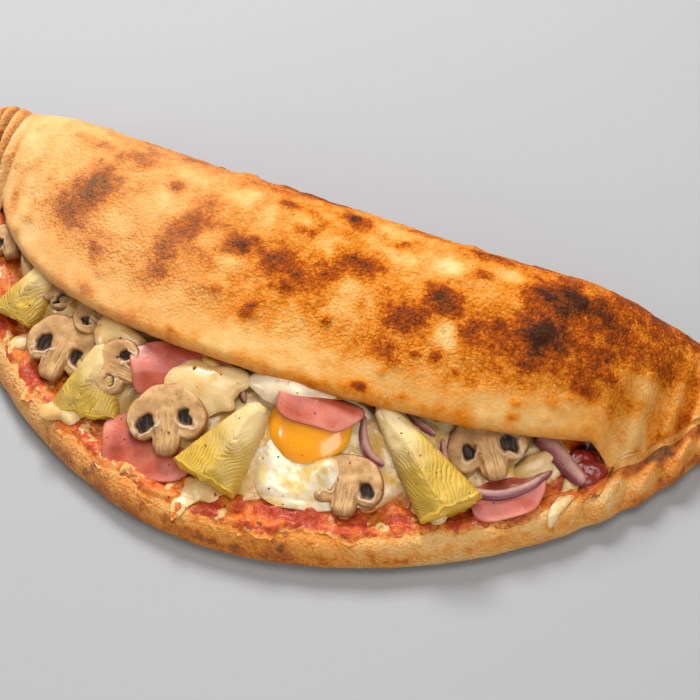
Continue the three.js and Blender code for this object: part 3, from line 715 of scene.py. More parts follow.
# ------------------------------------------------------------------ dough
# Baked marks on the flap: x along the fold and s down the face from the crown, then half length, half
# width, turn in degrees, rise as a share of a full blister, and baking (below zero for a paler spot).
MARKS = {
    "left_char": (-85, 19, 10, 7, -60, 0.7, 0.52), "left_tail": (-92, 31, 6, 4, -50, 0.2, 0.22),
    "left_grey": (-121, 35, 6, 3.5, 60, 0.3, 0.34), "left_ridge": (-98, -2, 13, 3, 0, 0.2, 0.2),
    "left_band": (-74, -2, 11, 5, 0, 0.2, 0.24), "left_dark": (-54, 4, 4.5, 3, 0, 0.6, 0.38),
    "mid_left": (-40, 20, 9, 7, -40, 0.3, 0.34), "mid_left_tail": (-44, 29, 7, 7, 0, 0.2, 0.14),
    "mid_left_low": (-42, 40, 7, 8, 0, 0.3, 0.2), "mid_red": (-17, 21, 4, 3, 0, 0.9, 0.36),
    "mid_bubble": (-13, 16, 2.4, 2, 0, 1.0, 0.1), "mid_brown": (0, 23, 8, 8, 0, 0.4, 0.28),
    "low_bubble": (-4, 45, 3, 4, 0, 1.0, 0.26), "low_bubble_small": (26, 39, 2, 2.6, 0, 1.0, 0.28),
    "low_bubble_long": (-21, 41, 4.5, 3.5, 0, 0.9, 0.16), "back_small": (-10, -4, 4, 3, 0, 0.5, 0.3),
    "back_streak": (2, 6, 7, 3, 10, 0.4, 0.26), "red_left": (-72, 41, 3.5, 3.5, 0, 0.4, 0.2),
    "lip_left": (-69, 57, 3.5, 3, 0, 0.5, 0.24), "lip_mid": (-29, 61, 3, 2.4, 0, 0.8, 0.26),
    "outline_dark": (-8, -23, 16, 4, 0, 0.3, 0.3), "crown_dark": (18, -8, 6, 4, 0, 0.5, 0.42),
    "crown_char": (28, 14, 8, 6, 0, 0.5, 0.32), "outline_right": (68, -10, 8, 4, 0, 0.4, 0.34),
    "char_a": (63, 18, 7, 6.5, 0, 0.7, 0.38), "brown_a": (52, 29, 7, 7, 0, 0.4, 0.26),
    "char_b": (76, 25, 3.5, 4, 0, 0.5, 0.26), "brown_b": (49, 41, 6, 6, 0, 0.2, 0.2),
    "dot_b": (68, 40, 2.4, 2.4, 0, 0.4, 0.34), "char_c": (101, 2, 10, 6, 0, 0.6, 0.40),
    "char_c_tail": (111, 1, 7, 4, 0, 0.4, 0.26), "char_d": (98, 20, 8, 7, 0, 0.5, 0.44),
    "char_d_low": (99, 30, 5, 6, 0, 0.3, 0.2), "char_d_far": (108, 13, 8, 8, 0, 0.1, 0.08),
    "brown_right": (129, 8, 9, 9, 0, 0.2, 0.14), "bubble_right": (72, 2, 5, 3, 0, 0.7, 0.24),
    "low_right": (91, 42, 5, 6, 0, 0.2, 0.14), "low_right_b": (123, 33, 4, 5, 0, 0.2, 0.12),
    "dot_right": (115, 28, 3, 3, 0, 0.3, 0.14), "lip_right": (101, 52, 3.2, 2.4, 0, 0.5, 0.30),
    "lip_dark": (46, 58, 3.6, 2.4, 0, 0.6, 0.34), "lip_small": (62, 57, 2.4, 2, 0, 0.4, 0.2),
    "end_blob": (152, 28, 6, 8, 0, 0.3, 0.24), "end_grey": (137, 40, 3, 4, 0, 0.3, 0.10),
    "end_small": (144, 42, 2, 3, 0, 0.2, 0.16), "tip_orange": (160, 19, 6, 6, 0, 0.2, 0.24),
    "pale_a": (-52, -5, 7, 4, 0, 0.0, -0.1), "pale_b": (-27, -1, 9, 4, 0, 0.0, -0.2),
    "pale_c": (-30, 23, 5, 5, 0, 0.0, -0.22), "pale_d": (-18, 29, 4, 3, 0, 0.3, -0.26),
    "pale_e": (-55, 15, 7, 5, 0, 0.0, -0.08), "rust_mid": (14, 30, 10, 8, 0, 0.2, 0.1),
    "pale_f": (-72, 28, 8, 5, 0, 0.0, -0.18),
    "pale_g": (28, 27, 6, 9, 0, 0.0, -0.24), "pale_h": (59, 2, 6, 4, 0, -0.2, -0.32),
    "pale_i": (82, -2, 5, 3.4, 0, -0.2, -0.28), "pale_dot": (67, 29, 4.4, 5, 0, -0.3, -0.42),
    "pale_j": (33, -9, 9, 4, 0, 0.0, -0.22), "pale_k": (38, 3, 6, 3, 0, 0.0, -0.2),
    "pale_l": (16, 10, 6, 5, 0, 0.0, -0.2),
}
SMALL_MARKS = 70              # lesser blisters strewn by a seeded draw
SMALL_MARK_SEED = 12
SMALL_MARK_RANGES = {"x": (-130, 145), "s": (-45, 52), "size": (1.2, 3.6), "baking": (0.05, 0.22)}
DOUGH_STATIONS = 470
BED_STATIONS = 430
# Baking of the crust: an amount, then the ramps whose product spreads it, each a field with the values
# where the ramp is 0 and where it is 1. x runs along the fold and s down the face from the crown.
FLAP_BASE = 0.43
FLAP_BAKE = {
    "left": (-0.23, ("x", -90, -125), ("x", -150, -136)),
    "right": (0.21, ("x", 56, 124)),
    "behind_crown": (0.12, ("s", 0, -22)),
    "face": (0.07, ("s", 6, 34), ("s", 52, 40)),
    "low_right": (0.08, ("s", 8, 34), ("s", 48, 34), ("x", 94, 112), ("x", 138, 126)),
    "before_tip": (-0.12, ("x", 130, 144), ("s", 8, 20)),
    "right_tip": (0.10, ("x", 152, 170)),
    "left_tip": (0.14, ("x", -140, -152)),
}
RIM_BASE = 0.36
# the rim's table is baking, except its middle row, which is painted shade, and its right row, which is painted
# light
RIM_BAKE_LIGHT_AND_SHADE = {
    "belly": (0.14, ("height", 3, 6), ("height", 11, 8)),
    "foot": (-0.24, ("height", 4, 1)),
    "inner_side": (0.32, ("inside", 6, 9)),
    "blisters": (0.22, ("blister", 0.3, 0.75), ("height", 5, 8)),
    "left": (-0.12, ("x", -10, -80)),
    # painted shade: the middle of the rim made darker
    "middle": (0.10, ("x", -90, -40), ("x", 80, 40)),
    # painted light: the right of the rim made paler
    "right": (-0.20, ("x", 50, 110)),
    "right_tip": (0.32, ("x", 138, 156)),
}
# pinched creases near the right tip: x, s where they start and stop, depth as a share of a full blister
CREASES = {"near_mouth": (147, 36, 46, 0.4), "at_tip": (160, 10, 26, 0.7)}
# small holes pricked by steam: x, s
PRICKS = {"pale_dot_hole": (67.5, 30), "pale_h_hole": (57, 4), "pale_c_hole": (-26, 26), "right_hole": (84, 20)}


def dough_stations(count):
    """Stations along the fold, crowded towards the tips by a cosine blend."""
    t = np.linspace(0, 1, count)
    crowded = mix(t, 0.5 - 0.5 * np.cos(np.pi * t), 0.35)
    return mix(APEX_X - HALF_LEFT + 0.6, APEX_X + HALF_RIGHT - 0.6, crowded)


def rim_run(x, points):
    """Points given as distance in from the edge and height, set along the front edge at each station."""
    y = front_y(x) + points[None, :, 0] * rim_scale(x)
    return np.stack([y, np.broadcast_to(points[None, :, 1], y.shape)], -1)


def dough_grid(x, face_count=124, bead_count=12, ceiling_count=14, hidden_rim=6, rim_count=32):
    """Closed (y, z) sections of the dough at each station, and how many points each stretch of them has."""
    x = x[:, None]
    v = np.linspace(0, 1, face_count)[None, :]
    face, outer, bead = flap_run(x, v)
    turn = np.radians(np.linspace(120, 300, bead_count + 1))[None, 1:]
    rounded = np.stack([bead[..., :1, 0] + BEAD * np.cos(turn), bead[..., :1, 1] + BEAD * np.sin(turn)], -1)
    pick = np.linspace(face_count - 8, 0, ceiling_count).astype(int)
    ceiling = (face + square_to(face) * FLAP)[:, pick]
    back, edge, scale = back_y(x), front_y(x), rim_scale(x)
    foot = edge + RIM[0, 0] * scale
    floor_y = np.concatenate([back - FLAP - 1.5, back - FLAP - 5, mix(back - FLAP, foot, 0.5)], 1)
    floor = np.stack([floor_y, np.broadcast_to([FLOOR + 1.5, FLOOR, FLOOR], floor_y.shape)], -1)
    rim = through(RIM, 8 * (len(RIM) - 1) + 1)
    under = rim[np.linspace(0, 8 * RIM_HIDDEN - 2, hidden_rim).astype(int)]
    shown = rim[np.linspace(8 * RIM_HIDDEN, len(rim) - 1, rim_count).astype(int)]
    open_hidden = np.concatenate([rounded, ceiling, floor, rim_run(x, under)], 1)
    end_y, end_z = edge + (SEAM + 2.5) * scale, np.full_like(edge, 13.6)
    shut_face = arch(x, v, end_y, end_z)
    share = np.linspace(0, 1, open_hidden.shape[1])[None, :]
    shut_y = mix(end_y, edge + RIM[RIM_HIDDEN, 0] * scale, share)
    shut_z = mix(end_z, RIM[RIM_HIDDEN, 1], share) - 0.6 * np.sin(np.pi * share)
    k = openness(x)[..., None]
    heel, low = np.minimum(9, (back - edge) * 0.2), np.minimum(13, 0.45 * crown_z(x))
    under_y = mix(edge + 3 * scale, back - heel, np.linspace(0, 1, 9)[None, :])
    bottom = np.stack([under_y, np.zeros_like(under_y)], -1)
    bend = np.radians(np.linspace(10, 80, 8))[None, :]
    corner = np.stack([back - heel + heel * np.sin(bend), low * (1 - np.cos(bend))], -1)
    hidden = mix(np.stack([shut_y, shut_z], -1), open_hidden, k)
    run = np.concatenate([bottom, corner, mix(shut_face, outer, k), hidden, rim_run(x, shown)], 1)
    parts = {"bottom": 9, "corner": 8, "face": face_count, "hidden": hidden.shape[1], "rim": rim_count}
    return finished(x, pleated(x, run)), parts


def face_distance(points, parts):
    """Distance down the flap's face from its crown, for every point of the sections."""
    step = np.linalg.norm(np.diff(points, axis=1)[..., 1:], axis=-1)
    run = np.concatenate([np.zeros((len(points), 1)), np.cumsum(step, 1)], 1)
    start = parts["bottom"] + parts["corner"]
    crown = start + int(round(CREST * (parts["face"] - 1)))
    return run - run[:, crown:crown + 1], run[:, start + parts["face"] - 1] - run[:, crown]


def zones(base, table, fields):
    """A base value plus, for every row of the table, its amount times the product of its ramps."""
    total = base
    for amount, *ramps in table.values():
        share = amount
        for field, zero, one in ramps:
            share = share * smooth(zero, one, fields[field])
        total = total + share
    return total


def marks_on(x, s, wander):
    """Rise and baking of all marks: each is a soft ellipse in x and s whose edge wanders."""
    rise, bake = np.zeros_like(s), np.zeros_like(s)
    for at_x, at_s, length, width, turn, up, dark in MARKS.values():
        u, w = own_axes(x - at_x, s - at_s, turn)
        ragged, reach = (0.30, 1.25) if dark > 0 else (0.55, 1.7)
        r = np.hypot(u / length, w / width) * (1 + ragged * wander)
        halo = max(dark - 0.18, 0.0) * 0.7
        bake += dark * smooth(reach, 0.25, r) + halo * smooth(2.3, 0.8, r)
        rise += up * bell(r * 1.25)
    draw = np.random.default_rng(SMALL_MARK_SEED)
    for _ in range(SMALL_MARKS):
        at_x, at_s, size, dark = (draw.uniform(*limits) for limits in SMALL_MARK_RANGES.values())
        r = np.hypot((x - at_x) / 1.3, s - at_s) / size * (1 + 0.3 * wander)
        bake += dark * smooth(1.2, 0.3, r)
        rise += 0.45 * bell(r * 1.2)
    for at_x, low_s, high_s, depth in CREASES.values():
        along = smooth(low_s - 4, low_s + 2, s) * smooth(high_s + 4, high_s - 2, s)
        off = x - at_x - 0.12 * (s - low_s)
        rise += along * depth * (0.7 * bell(off + 2.2, 1.6) - bell(off, 0.8))
        # painted shade in each crease's groove, and a painted lighter ridge beside it
        bake += along * (0.24 * bell(off, 0.8) - 0.2 * bell(off + 2.0, 1.6))
    for at_x, at_s in PRICKS.values():
        r = np.hypot(x - at_x, s - at_s)
        rise -= 0.9 * bell(r, 0.9)
        bake += 0.3 * bell(r, 0.7)
    return rise, bake


def flap_baking(points, s, border, toasted, marked):
    """Baking of the flap: the zones, a pale border with a toasted lip, mottling and the marks."""
    x = points[..., 0]
    bake = zones(FLAP_BASE, FLAP_BAKE, {"x": x, "s": s})
    bake += 0.16 * toasted + (0.05 * smooth(30, 100, x) - 0.20) * border
    # a pale band low on the right half, which climbs and narrows towards the tip
    towards_tip = smooth(112, 136, x)
    band = (s - mix(24, 8, towards_tip)) / mix(22, 13, towards_tip)
    bake -= 0.24 * smooth(0, 1, band) * smooth(55, 110, x)
    bake += 0.11 * layered_noise(points, 19.0, 3, 5) + 0.08 * layered_noise(points, 6.5, 3, 91) + marked
    return np.where(bake > 0.7, 0.7 + 0.45 * (bake - 0.7), bake)


def dough_piece(shapes):
    """The whole crust: its sections, the baking of each stretch, and relief along the normals."""
    x = dough_stations(DOUGH_STATIONS)
    run, parts = dough_grid(x)
    points = section_grid(x, run)
    at_x, at_z = points[..., 0], points[..., 2]
    s, s_end = face_distance(points, parts)
    start = parts["bottom"] + parts["corner"]
    column = np.arange(points.shape[1])[None, :]
    on_face = (column >= start) & (column < start + parts["face"] + 8)
    on_rim = column >= points.shape[1] - parts["rim"]
    hidden = ~on_face & ~on_rim & (column > start)
    wander = layered_noise(points, 6.0, 3, 11)
    inside = (points[..., 1] - front_y(at_x)) / rim_scale(at_x)
    mouth = openness(at_x)
    rise, marked = marks_on(at_x, s, wander)
    to_lip = s_end[:, None] - s
    border = on_face * smooth(17, 4, to_lip + 3 * wander) * mix(0.45, 1.0, mouth)
    toasted = on_face * smooth(2.5, -2.0, to_lip + 2.2 * wander) * mouth
    bake = flap_baking(points, s, border, toasted, marked * on_face)
    # flour dulls the left of the flap and the rim, and is burnt off where the baking is dark
    dust = on_face * 0.5 * smooth(10, -70, at_x) * (1 - 0.5 * smooth(0.5, 0.8, bake))
    dust = dust + (0.2 + 0.4 * smooth(10, -80, at_x) + 0.25 * smooth(4.5, 2, at_z)) * on_rim
    fold = pleat_wave(x[:, None]) * (1 - mouth) * smooth(44, 26, inside) * smooth(6, 12, inside)
    # painted light and shade on the pleats: their raised crests paler and their troughs darker, most on the
    # left
    bake += np.where(at_x < 0, -0.26, -0.05) * fold * on_face
    crust = zones(RIM_BASE, RIM_BAKE_LIGHT_AND_SHADE, {"x": at_x, "height": at_z + 1.2 * wander, "inside": inside,
                                       "blister": layered_noise(points, 3.4, 2, 77)})
    crust += 0.17 * layered_noise(points, 11.0, 3, 23)
    bake = np.where(on_rim, crust, bake)
    bake = np.where(column < parts["bottom"], 0.52 + 0.12 * layered_noise(points, 14.0, 3, 31), bake)
    bake = np.where(hidden, mix(0.16, bake, 1 - mouth), bake)
    crisp = np.where(on_rim, 0.85, (1.0 - 0.6 * border) * mix(0.6, 1.0, smooth(0.22, 0.5, bake)))
    bumps = 0.8 * layered_noise(points, 8.0, 2, 3) + 0.35 * crisp * layered_noise(points, 2.2, 2, 41)
    weight = np.where(on_face, 1.0 - 0.3 * border, np.where(on_rim, 0.8, 0.25 * mouth))
    lift = weight * (shapes.crust_relief / MM * bumps + on_face * shapes.blister_rise / MM * rise)
    lift += 0.9 * fold * on_face
    lift *= np.clip(at_z / 3, 0, 1)
    normal = surface_normals(points)
    if normal[len(x) // 2, start + parts["face"] // 2, 2] < 0:
        normal = -normal
    points = points + normal * lift[..., None]
    points[..., 2] = np.maximum(points[..., 2], 0)
    tube_piece("baked_dough", points, ["dough"], crust_material(),
               {"bake": bake, "crisp": crisp, "dust": dust})


# ------------------------------------------------------------------ filling beds
# the pit's near-black in the cheese is painted shade
DARK_HOLLOW = (127.0, -64.0, 5.0)   # x, y and radius of a deep gap left beside the tomato
SAUCE_BACK = 42.0             # how far in from the edge the sauce ends under the cheese
# x, y and radius of bare red patches of sauce
SAUCE_PATCHES = np.array([
    (43, -137, 10), (60, -137, 9), (-105, -98, 9), (-84, -118, 8), (10, -143, 6), (92, -112, 8),
])


def bed_fill(x, y):
    """Cheese that wells up under and round each topping: a plateau over an oval a little wider than it."""
    height = np.zeros(np.broadcast(x, y).shape)
    lying = [(m, 0.5 * m["width"], 0.45 * m["width"], 3.4) for m in MUSHROOMS.values()]
    lying += [(a, 0.5 * a["width"], 0.5 * a["length"], 2.0) for a in ARTICHOKES.values()]
    lying += [(h, h["rx"], h["ry"], 0.8) for h in HAMS.values()]
    for topping, rx, ry, sunk in lying:
        u, w = own_axes(x - topping["at"][0], y - topping["at"][1], topping["yaw"])
        full = min(topping["lift"] - sunk, 4.0)
        height = np.maximum(height, full * smooth(1.22, 0.75, np.hypot(u / rx, w / ry)))
    egg = POOLS["egg_white"]
    pool = np.hypot((x - egg["at"][0]) / egg["rx"], (y - egg["at"][1]) / egg["ry"])
    return np.where(height > 0.3, height, height - 1.3 * smooth(1.0, 0.75, pool))


def pit(x, y):
    """Bell curve round the dark hollow."""
    return bell(np.hypot(x - DARK_HOLLOW[0], y - DARK_HOLLOW[1]), DARK_HOLLOW[2])


def bed_stations():
    """Even stations along the mouth."""
    return np.linspace(MOUTH_LEFT + 1, MOUTH_RIGHT - 1, BED_STATIONS)


def rim_height(inside):
    """Height of the rim at a distance in from the edge, read off the RIM points."""
    order = RIM[::-1][1:]
    return np.interp(inside, order[:, 0], order[:, 1])


def section_grid(x, run):
    """Points of (y, z) sections at their stations along x."""
    return np.concatenate([np.broadcast_to(x[:, None, None], (*run.shape[:2], 1)), run], -1)


def sauce_material():
    """Baked sauce: orange and red patches, lumps of melted cheese on it and browned, oily spots."""
    colours = bpy.context.scene.calzone_colours
    look = Look("baked_sauce", 0.42, coat=0.08, specular=0.25)
    red, orange, oil = (np.array(c) for c in (colours.sauce_red, colours.sauce_orange, colours.cheese_oil))
    patch = look.noise(0.0085, 2.5, 0.55, 0.8)
    fine = look.noise(0.0019, 3.0, 0.65)
    crumb = look.noise(0.0092, 3.0, 0.55, 0.8)
    brown = look.noise(0.0042, 3.5, 0.7)
    inner, ripe = look.value("inner"), look.value("ripe")
    colour = look.ramp((fine - 0.5) * 0.40 + patch - ripe * 0.22, [
        (0.30, red * 0.75), (0.40, red), (0.48, mix(red, orange, 0.6)), (0.58, orange),
        (0.76, mix(orange, oil, 0.4)),
    ])
    edge = look.ramp((fine - 0.5) * 0.8 + patch, [
        (0.36, colours.crust_amber), (0.48, colours.crust_orange), (0.64, colours.crust_gold),
        (0.80, colours.crust_pale),
    ])
    colour = look.blend(look.spread(patch * 0.5 + inner, 0.30, 0.75), edge, colour)
    lump = (fine - 0.5) * 0.25 + crumb - ripe * 0.12
    cheesy = look.spread(lump, 0.55, 0.61) * look.spread(inner, 0.05, 0.45, 0.25, 1.0)
    melt = look.blend(look.spread(fine, 0.35, 0.60), mix(oil, orange, 0.3), SAUCE_MELT)
    colour = look.blend(cheesy, colour, melt)
    colour = look.blend(look.spread(brown, 0.62, 0.70) * 0.8, colour, SAUCE_BURNT)
    return look.done(colour, look.bump(fine, 0.0010, 0.8, look.bump(lump, 0.0014, 0.6)))


def cheese_material():
    """Melted cheese: cream with yellow oil, stained orange and red where the sauce shows through, with painted
    shade under the lip and in the pit.
    """
    colours = bpy.context.scene.calzone_colours
    look = Look("melted_cheese", 0.32, subsurface=0.12, coat=0.3, radius=CHEESE_DEPTH)
    cloud = look.noise(0.008, 3.0, 0.55)
    curd = look.noise(0.0030, 2.5, 0.6)
    fine = look.noise(0.0012, 2.0, 0.6)
    stain = look.value("stain") + (look.noise(0.0085, 3.5, 0.6, 0.6) - 0.5) * 2.0
    colour = look.ramp(cloud, [(0.40, colours.cheese_oil), (0.56, colours.cheese_cream),
                               (0.76, colours.cheese_white)])
    # the stain value carries sauce showing through and painted shade; its highest step is the pit's painted
    # shade
    for low, high, shade in ((0.30, 0.58, colours.sauce_orange), (0.62, 0.92, colours.sauce_red),
                             (1.4, 2.2, HOLLOW_SHADE)):
        colour = look.blend(look.spread(stain, low, high), colour, shade)
    return look.done(colour, look.bump(fine, 0.0003, 0.3, look.bump(curd, 0.0009, 0.3)))


def sauce_piece():
    """Fringe of baked sauce: top run from a wandering edge on the crust back under the cheese, flat below."""
    stations = bed_stations()
    x = stations[:, None]
    line = flat_at(x, np.zeros_like(x))
    reach = np.interp(stations, SAUCE_REACH[:, 0], SAUCE_REACH[:, 1])[:, None]
    edge = reach + 2.4 * layered_noise(line, 7.0, 3, 7) + 1.1 * layered_noise(line, 2.6, 2, 8)
    share = np.linspace(0, 1, 66)[None, :] ** 1.1
    inside = mix(edge, SAUCE_BACK, share)
    y = front_y(x) + inside * rim_scale(x)
    flat = flat_at(x, y)
    fade = smooth(0, 0.10, share)
    relief = 0.9 * layered_noise(flat, 5.0, 3, 17) + 0.4 * layered_noise(flat, 2.6, 2, 19) + 0.4
    z = np.maximum(sauce_top(x, y), rim_height(inside) + 0.10 + 0.6 * fade) + fade * relief
    under_in = mix(edge + 1.2, SAUCE_BACK, np.linspace(1, 0, 8)[None, 1:])
    under_y = front_y(x) + under_in * rim_scale(x)
    under_z = np.minimum(rim_height(under_in) - 0.4, 11.5)
    run = np.stack([np.concatenate([y, under_y], 1), np.concatenate([z, under_z], 1)], -1)
    inner = smooth(0, 5, np.concatenate([inside, under_in], 1) - edge)
    ripe = sum(bell(np.hypot(x - at_x, run[..., 0] - at_y), size) for at_x, at_y, size in SAUCE_PATCHES)
    tube_piece("sauce_fringe", section_grid(stations, run), ["tomato_sauce"], sauce_material(),
               {"inner": inner, "ripe": ripe})


def cheese_piece():
    """Melted bed: a ragged front edge, the sloping heaped top, then the ceiling's line back under the flap."""
    stations = bed_stations()
    x = stations[:, None]
    edge, scale, lip = front_y(x), rim_scale(x), lip_y(x)
    ragged = BED_EDGE + 3.4 * layered_noise(flat_at(x, np.zeros_like(x)), 10.0, 3, 29)
    front = edge + ragged * scale
    y = mix(front, lip + 8, np.linspace(0, 1, 96)[None, :])
    flat = flat_at(x, y)
    soft = 0.8 * layered_noise(flat, 11.0, 2, 53) + 0.45 * layered_noise(flat, 4.2, 3, 59)
    nose = np.sqrt(1 - (1 - np.clip((y - front) / 3.5, 0, 1)) ** 2)
    welled = bed_fill(x, y) * smooth(0, 5, y - front)
    z = mix(sauce_top(x, y) - 0.3, bed_top(x, y) + soft + welled, nose)
    z = np.minimum(z, lip_z(x) - 4 + 6 * smooth(8, -4, y - lip))
    z = np.maximum(z - 5 * pit(x, y), sauce_top(x, y) - 0.3)
    face, _, _ = flap_run(x, np.linspace(0, 1, 60)[None, :])
    pick = (np.array([0.71, 0.58, 0.46, 0.35, 0.24, 0.13]) * 59).astype(int)
    ceiling = (face + square_to(face) * (FLAP + 0.9))[:, pick]
    heel_y = back_y(x) - FLAP - 3
    low_y = mix(front + 1.5, heel_y, np.linspace(1, 0, 8)[None, :])
    run_y = np.concatenate([y, ceiling[..., 0], heel_y, low_y], 1)
    run_z = np.concatenate([z, ceiling[..., 1], np.full_like(heel_y, 12.0), sauce_top(x, low_y) - 0.6], 1)
    # sauce shows through near the front edge; the rise of the stain towards and under the lip is painted shade
    stain = 0.40 * smooth(31, 20, (run_y - edge) / scale) + 0.25 * smooth(0, 7, run_y - lip)
    # painted shade: the pit gets the stain's near-black step
    stain = stain + 0.04 + 2.6 * pit(x, run_y)
    grid = section_grid(stations, np.stack([run_y, run_z], -1))
    tube_piece("cheese_bed", grid, ["melted_cheese"], cheese_material(), {"stain": stain})


# ------------------------------------------------------------------ toppings
MUSHROOMS = {
    "mushroom_left_front": dict(width=31, stem=1.0, at=(-18, -121.5), lift=5.2, yaw=22, tilt=4),
    "mushroom_mid": dict(width=28, stem=0.9, at=(54, -118), lift=2.3, yaw=12, tilt=0),
    "mushroom_right": dict(width=31, stem=1.0, at=(94.5, -84), lift=2.6, yaw=37, tilt=2),
    "mushroom_left": dict(width=30.5, stem=1.0, at=(-72, -106), lift=3.2, yaw=-6, tilt=0),
    "mushroom_behind_ham": dict(width=22, stem=1.0, at=(-44.5, -110.5), lift=7.0, yaw=82, tilt=4),
    "mushroom_under_lip": dict(width=21, stem=0.8, at=(-86, -83), lift=1.0, yaw=-42, tilt=0),
    "mushroom_under_lip_mid": dict(width=22, stem=0.8, at=(-64, -90), lift=1.0, yaw=62, tilt=0),
    "mushroom_far_left": dict(width=20, stem=0.9, at=(-121, -64), lift=0.8, yaw=34, tilt=0),
}
# right half of a slice's outline for a cap 30.8 wide: domed cap, curled edge, stem
SLICE = np.array([
    (0, 13.2), (6, 12.2), (11.5, 8.6), (15, 2.5), (15, -3.2), (12.2, -7.2), (8.8, -8.4), (5.6, -7.6),
    (4.9, -10.5), (3.6, -13.0), (0, -13.6),
])
SLICE_WIDTH = 30.8
SLICE_CURL = -6.7
SLICE_THICK = 4.0


def outline_radius(points, angle):
    """Radius at each angle of a closed curve through points that circle the origin once."""
    closed = through(np.vstack([points, points[:1]]), 40 * len(points))
    at = np.unwrap(np.arctan2(closed[:, 1], closed[:, 0]))
    order = np.argsort(at)
    low = at[order][0]
    return np.interp((angle - low) % (2 * np.pi) + low, at[order], np.hypot(*closed[order].T))


def mushroom_material():
    """Cut mushroom: tan flesh, fibrous stem, brown skin line and dark gills partly painted as shade, from the
    slice's own values, and painted shade beside the stem.
    """
    colours = bpy.context.scene.calzone_colours
    look = Look("mushroom", 0.55, specular=0.25)
    own = look.field("ShaderNodeCombineXYZ", {"X": look.value("across"), "Y": look.value("along") * 0.14,
                                              "Z": look.value("tone")})
    fibre = look.noise(0.0007, 2.5, 0.62, at=own)
    cloud = look.noise(0.0052, 3.0, 0.6)
    fine = look.noise(0.0010, 2.0, 0.6)
    stem = look.value("stem")
    flesh, pale = np.array(colours.mushroom_flesh), np.array(MUSHROOM_PALE)
    colour = look.ramp(cloud, [(0.28, flesh * 0.62), (0.44, flesh * 0.92), (0.58, mix(flesh, pale, 0.5)),
                               (0.74, pale)])
    stem_colour = look.ramp(fibre, [(0.30, flesh * 0.5), (0.47, flesh), (0.62, mix(flesh, pale, 0.8))])
    colour = look.blend(stem * 0.85, colour, stem_colour)
    # cooked browning near the gills and at the cut end, plus painted shade in the gap between lobe and stem
    browned = look.value("toast_and_shade") * look.spread(cloud, 0.35, 0.65, 0.35, 0.85)
    colour = look.blend(browned, colour, MUSHROOM_TOASTED)
    colour = look.blend(look.spread(fine, 0.62, 0.76, 0.0, 0.4), colour, colours.mushroom_skin)
    colour = look.blend(look.value("pale"), colour, MUSHROOM_EDGE)
    colour = look.blend(look.value("skin"), colour, colours.mushroom_skin)
    # the gills' near-black is partly their own colour, partly painted shade
    ribs = look.ramp(look.noise(0.0011, 2.0, 0.6, at=own), [(0.50, colours.gill_dark_and_shade), (0.72, GILL_RIB)])
    colour = look.blend(look.value("gill"), colour, ribs)
    return look.done(colour, look.bump(fine, 0.0003, 0.3, look.bump(fibre * stem + cloud, 0.0007, 0.4)))


def gill_slot(side, px, py, size, droop, seed):
    """Distance from a gill hollow in its own radii: a drooping oval bent towards the slice's outer edge."""
    x, y = side * px - 8.0, py + 0.9
    u, w = own_axes(x, y, -droop)
    w = w + 0.07 * np.clip(x, -2.5, 2.5) ** 2
    ragged = 1 + 0.38 * lattice_noise(flat_at(px, py, seed), 2.2, 5 + seed)
    return np.hypot(u / (4.3 * size), w / (2.7 * size)) * ragged


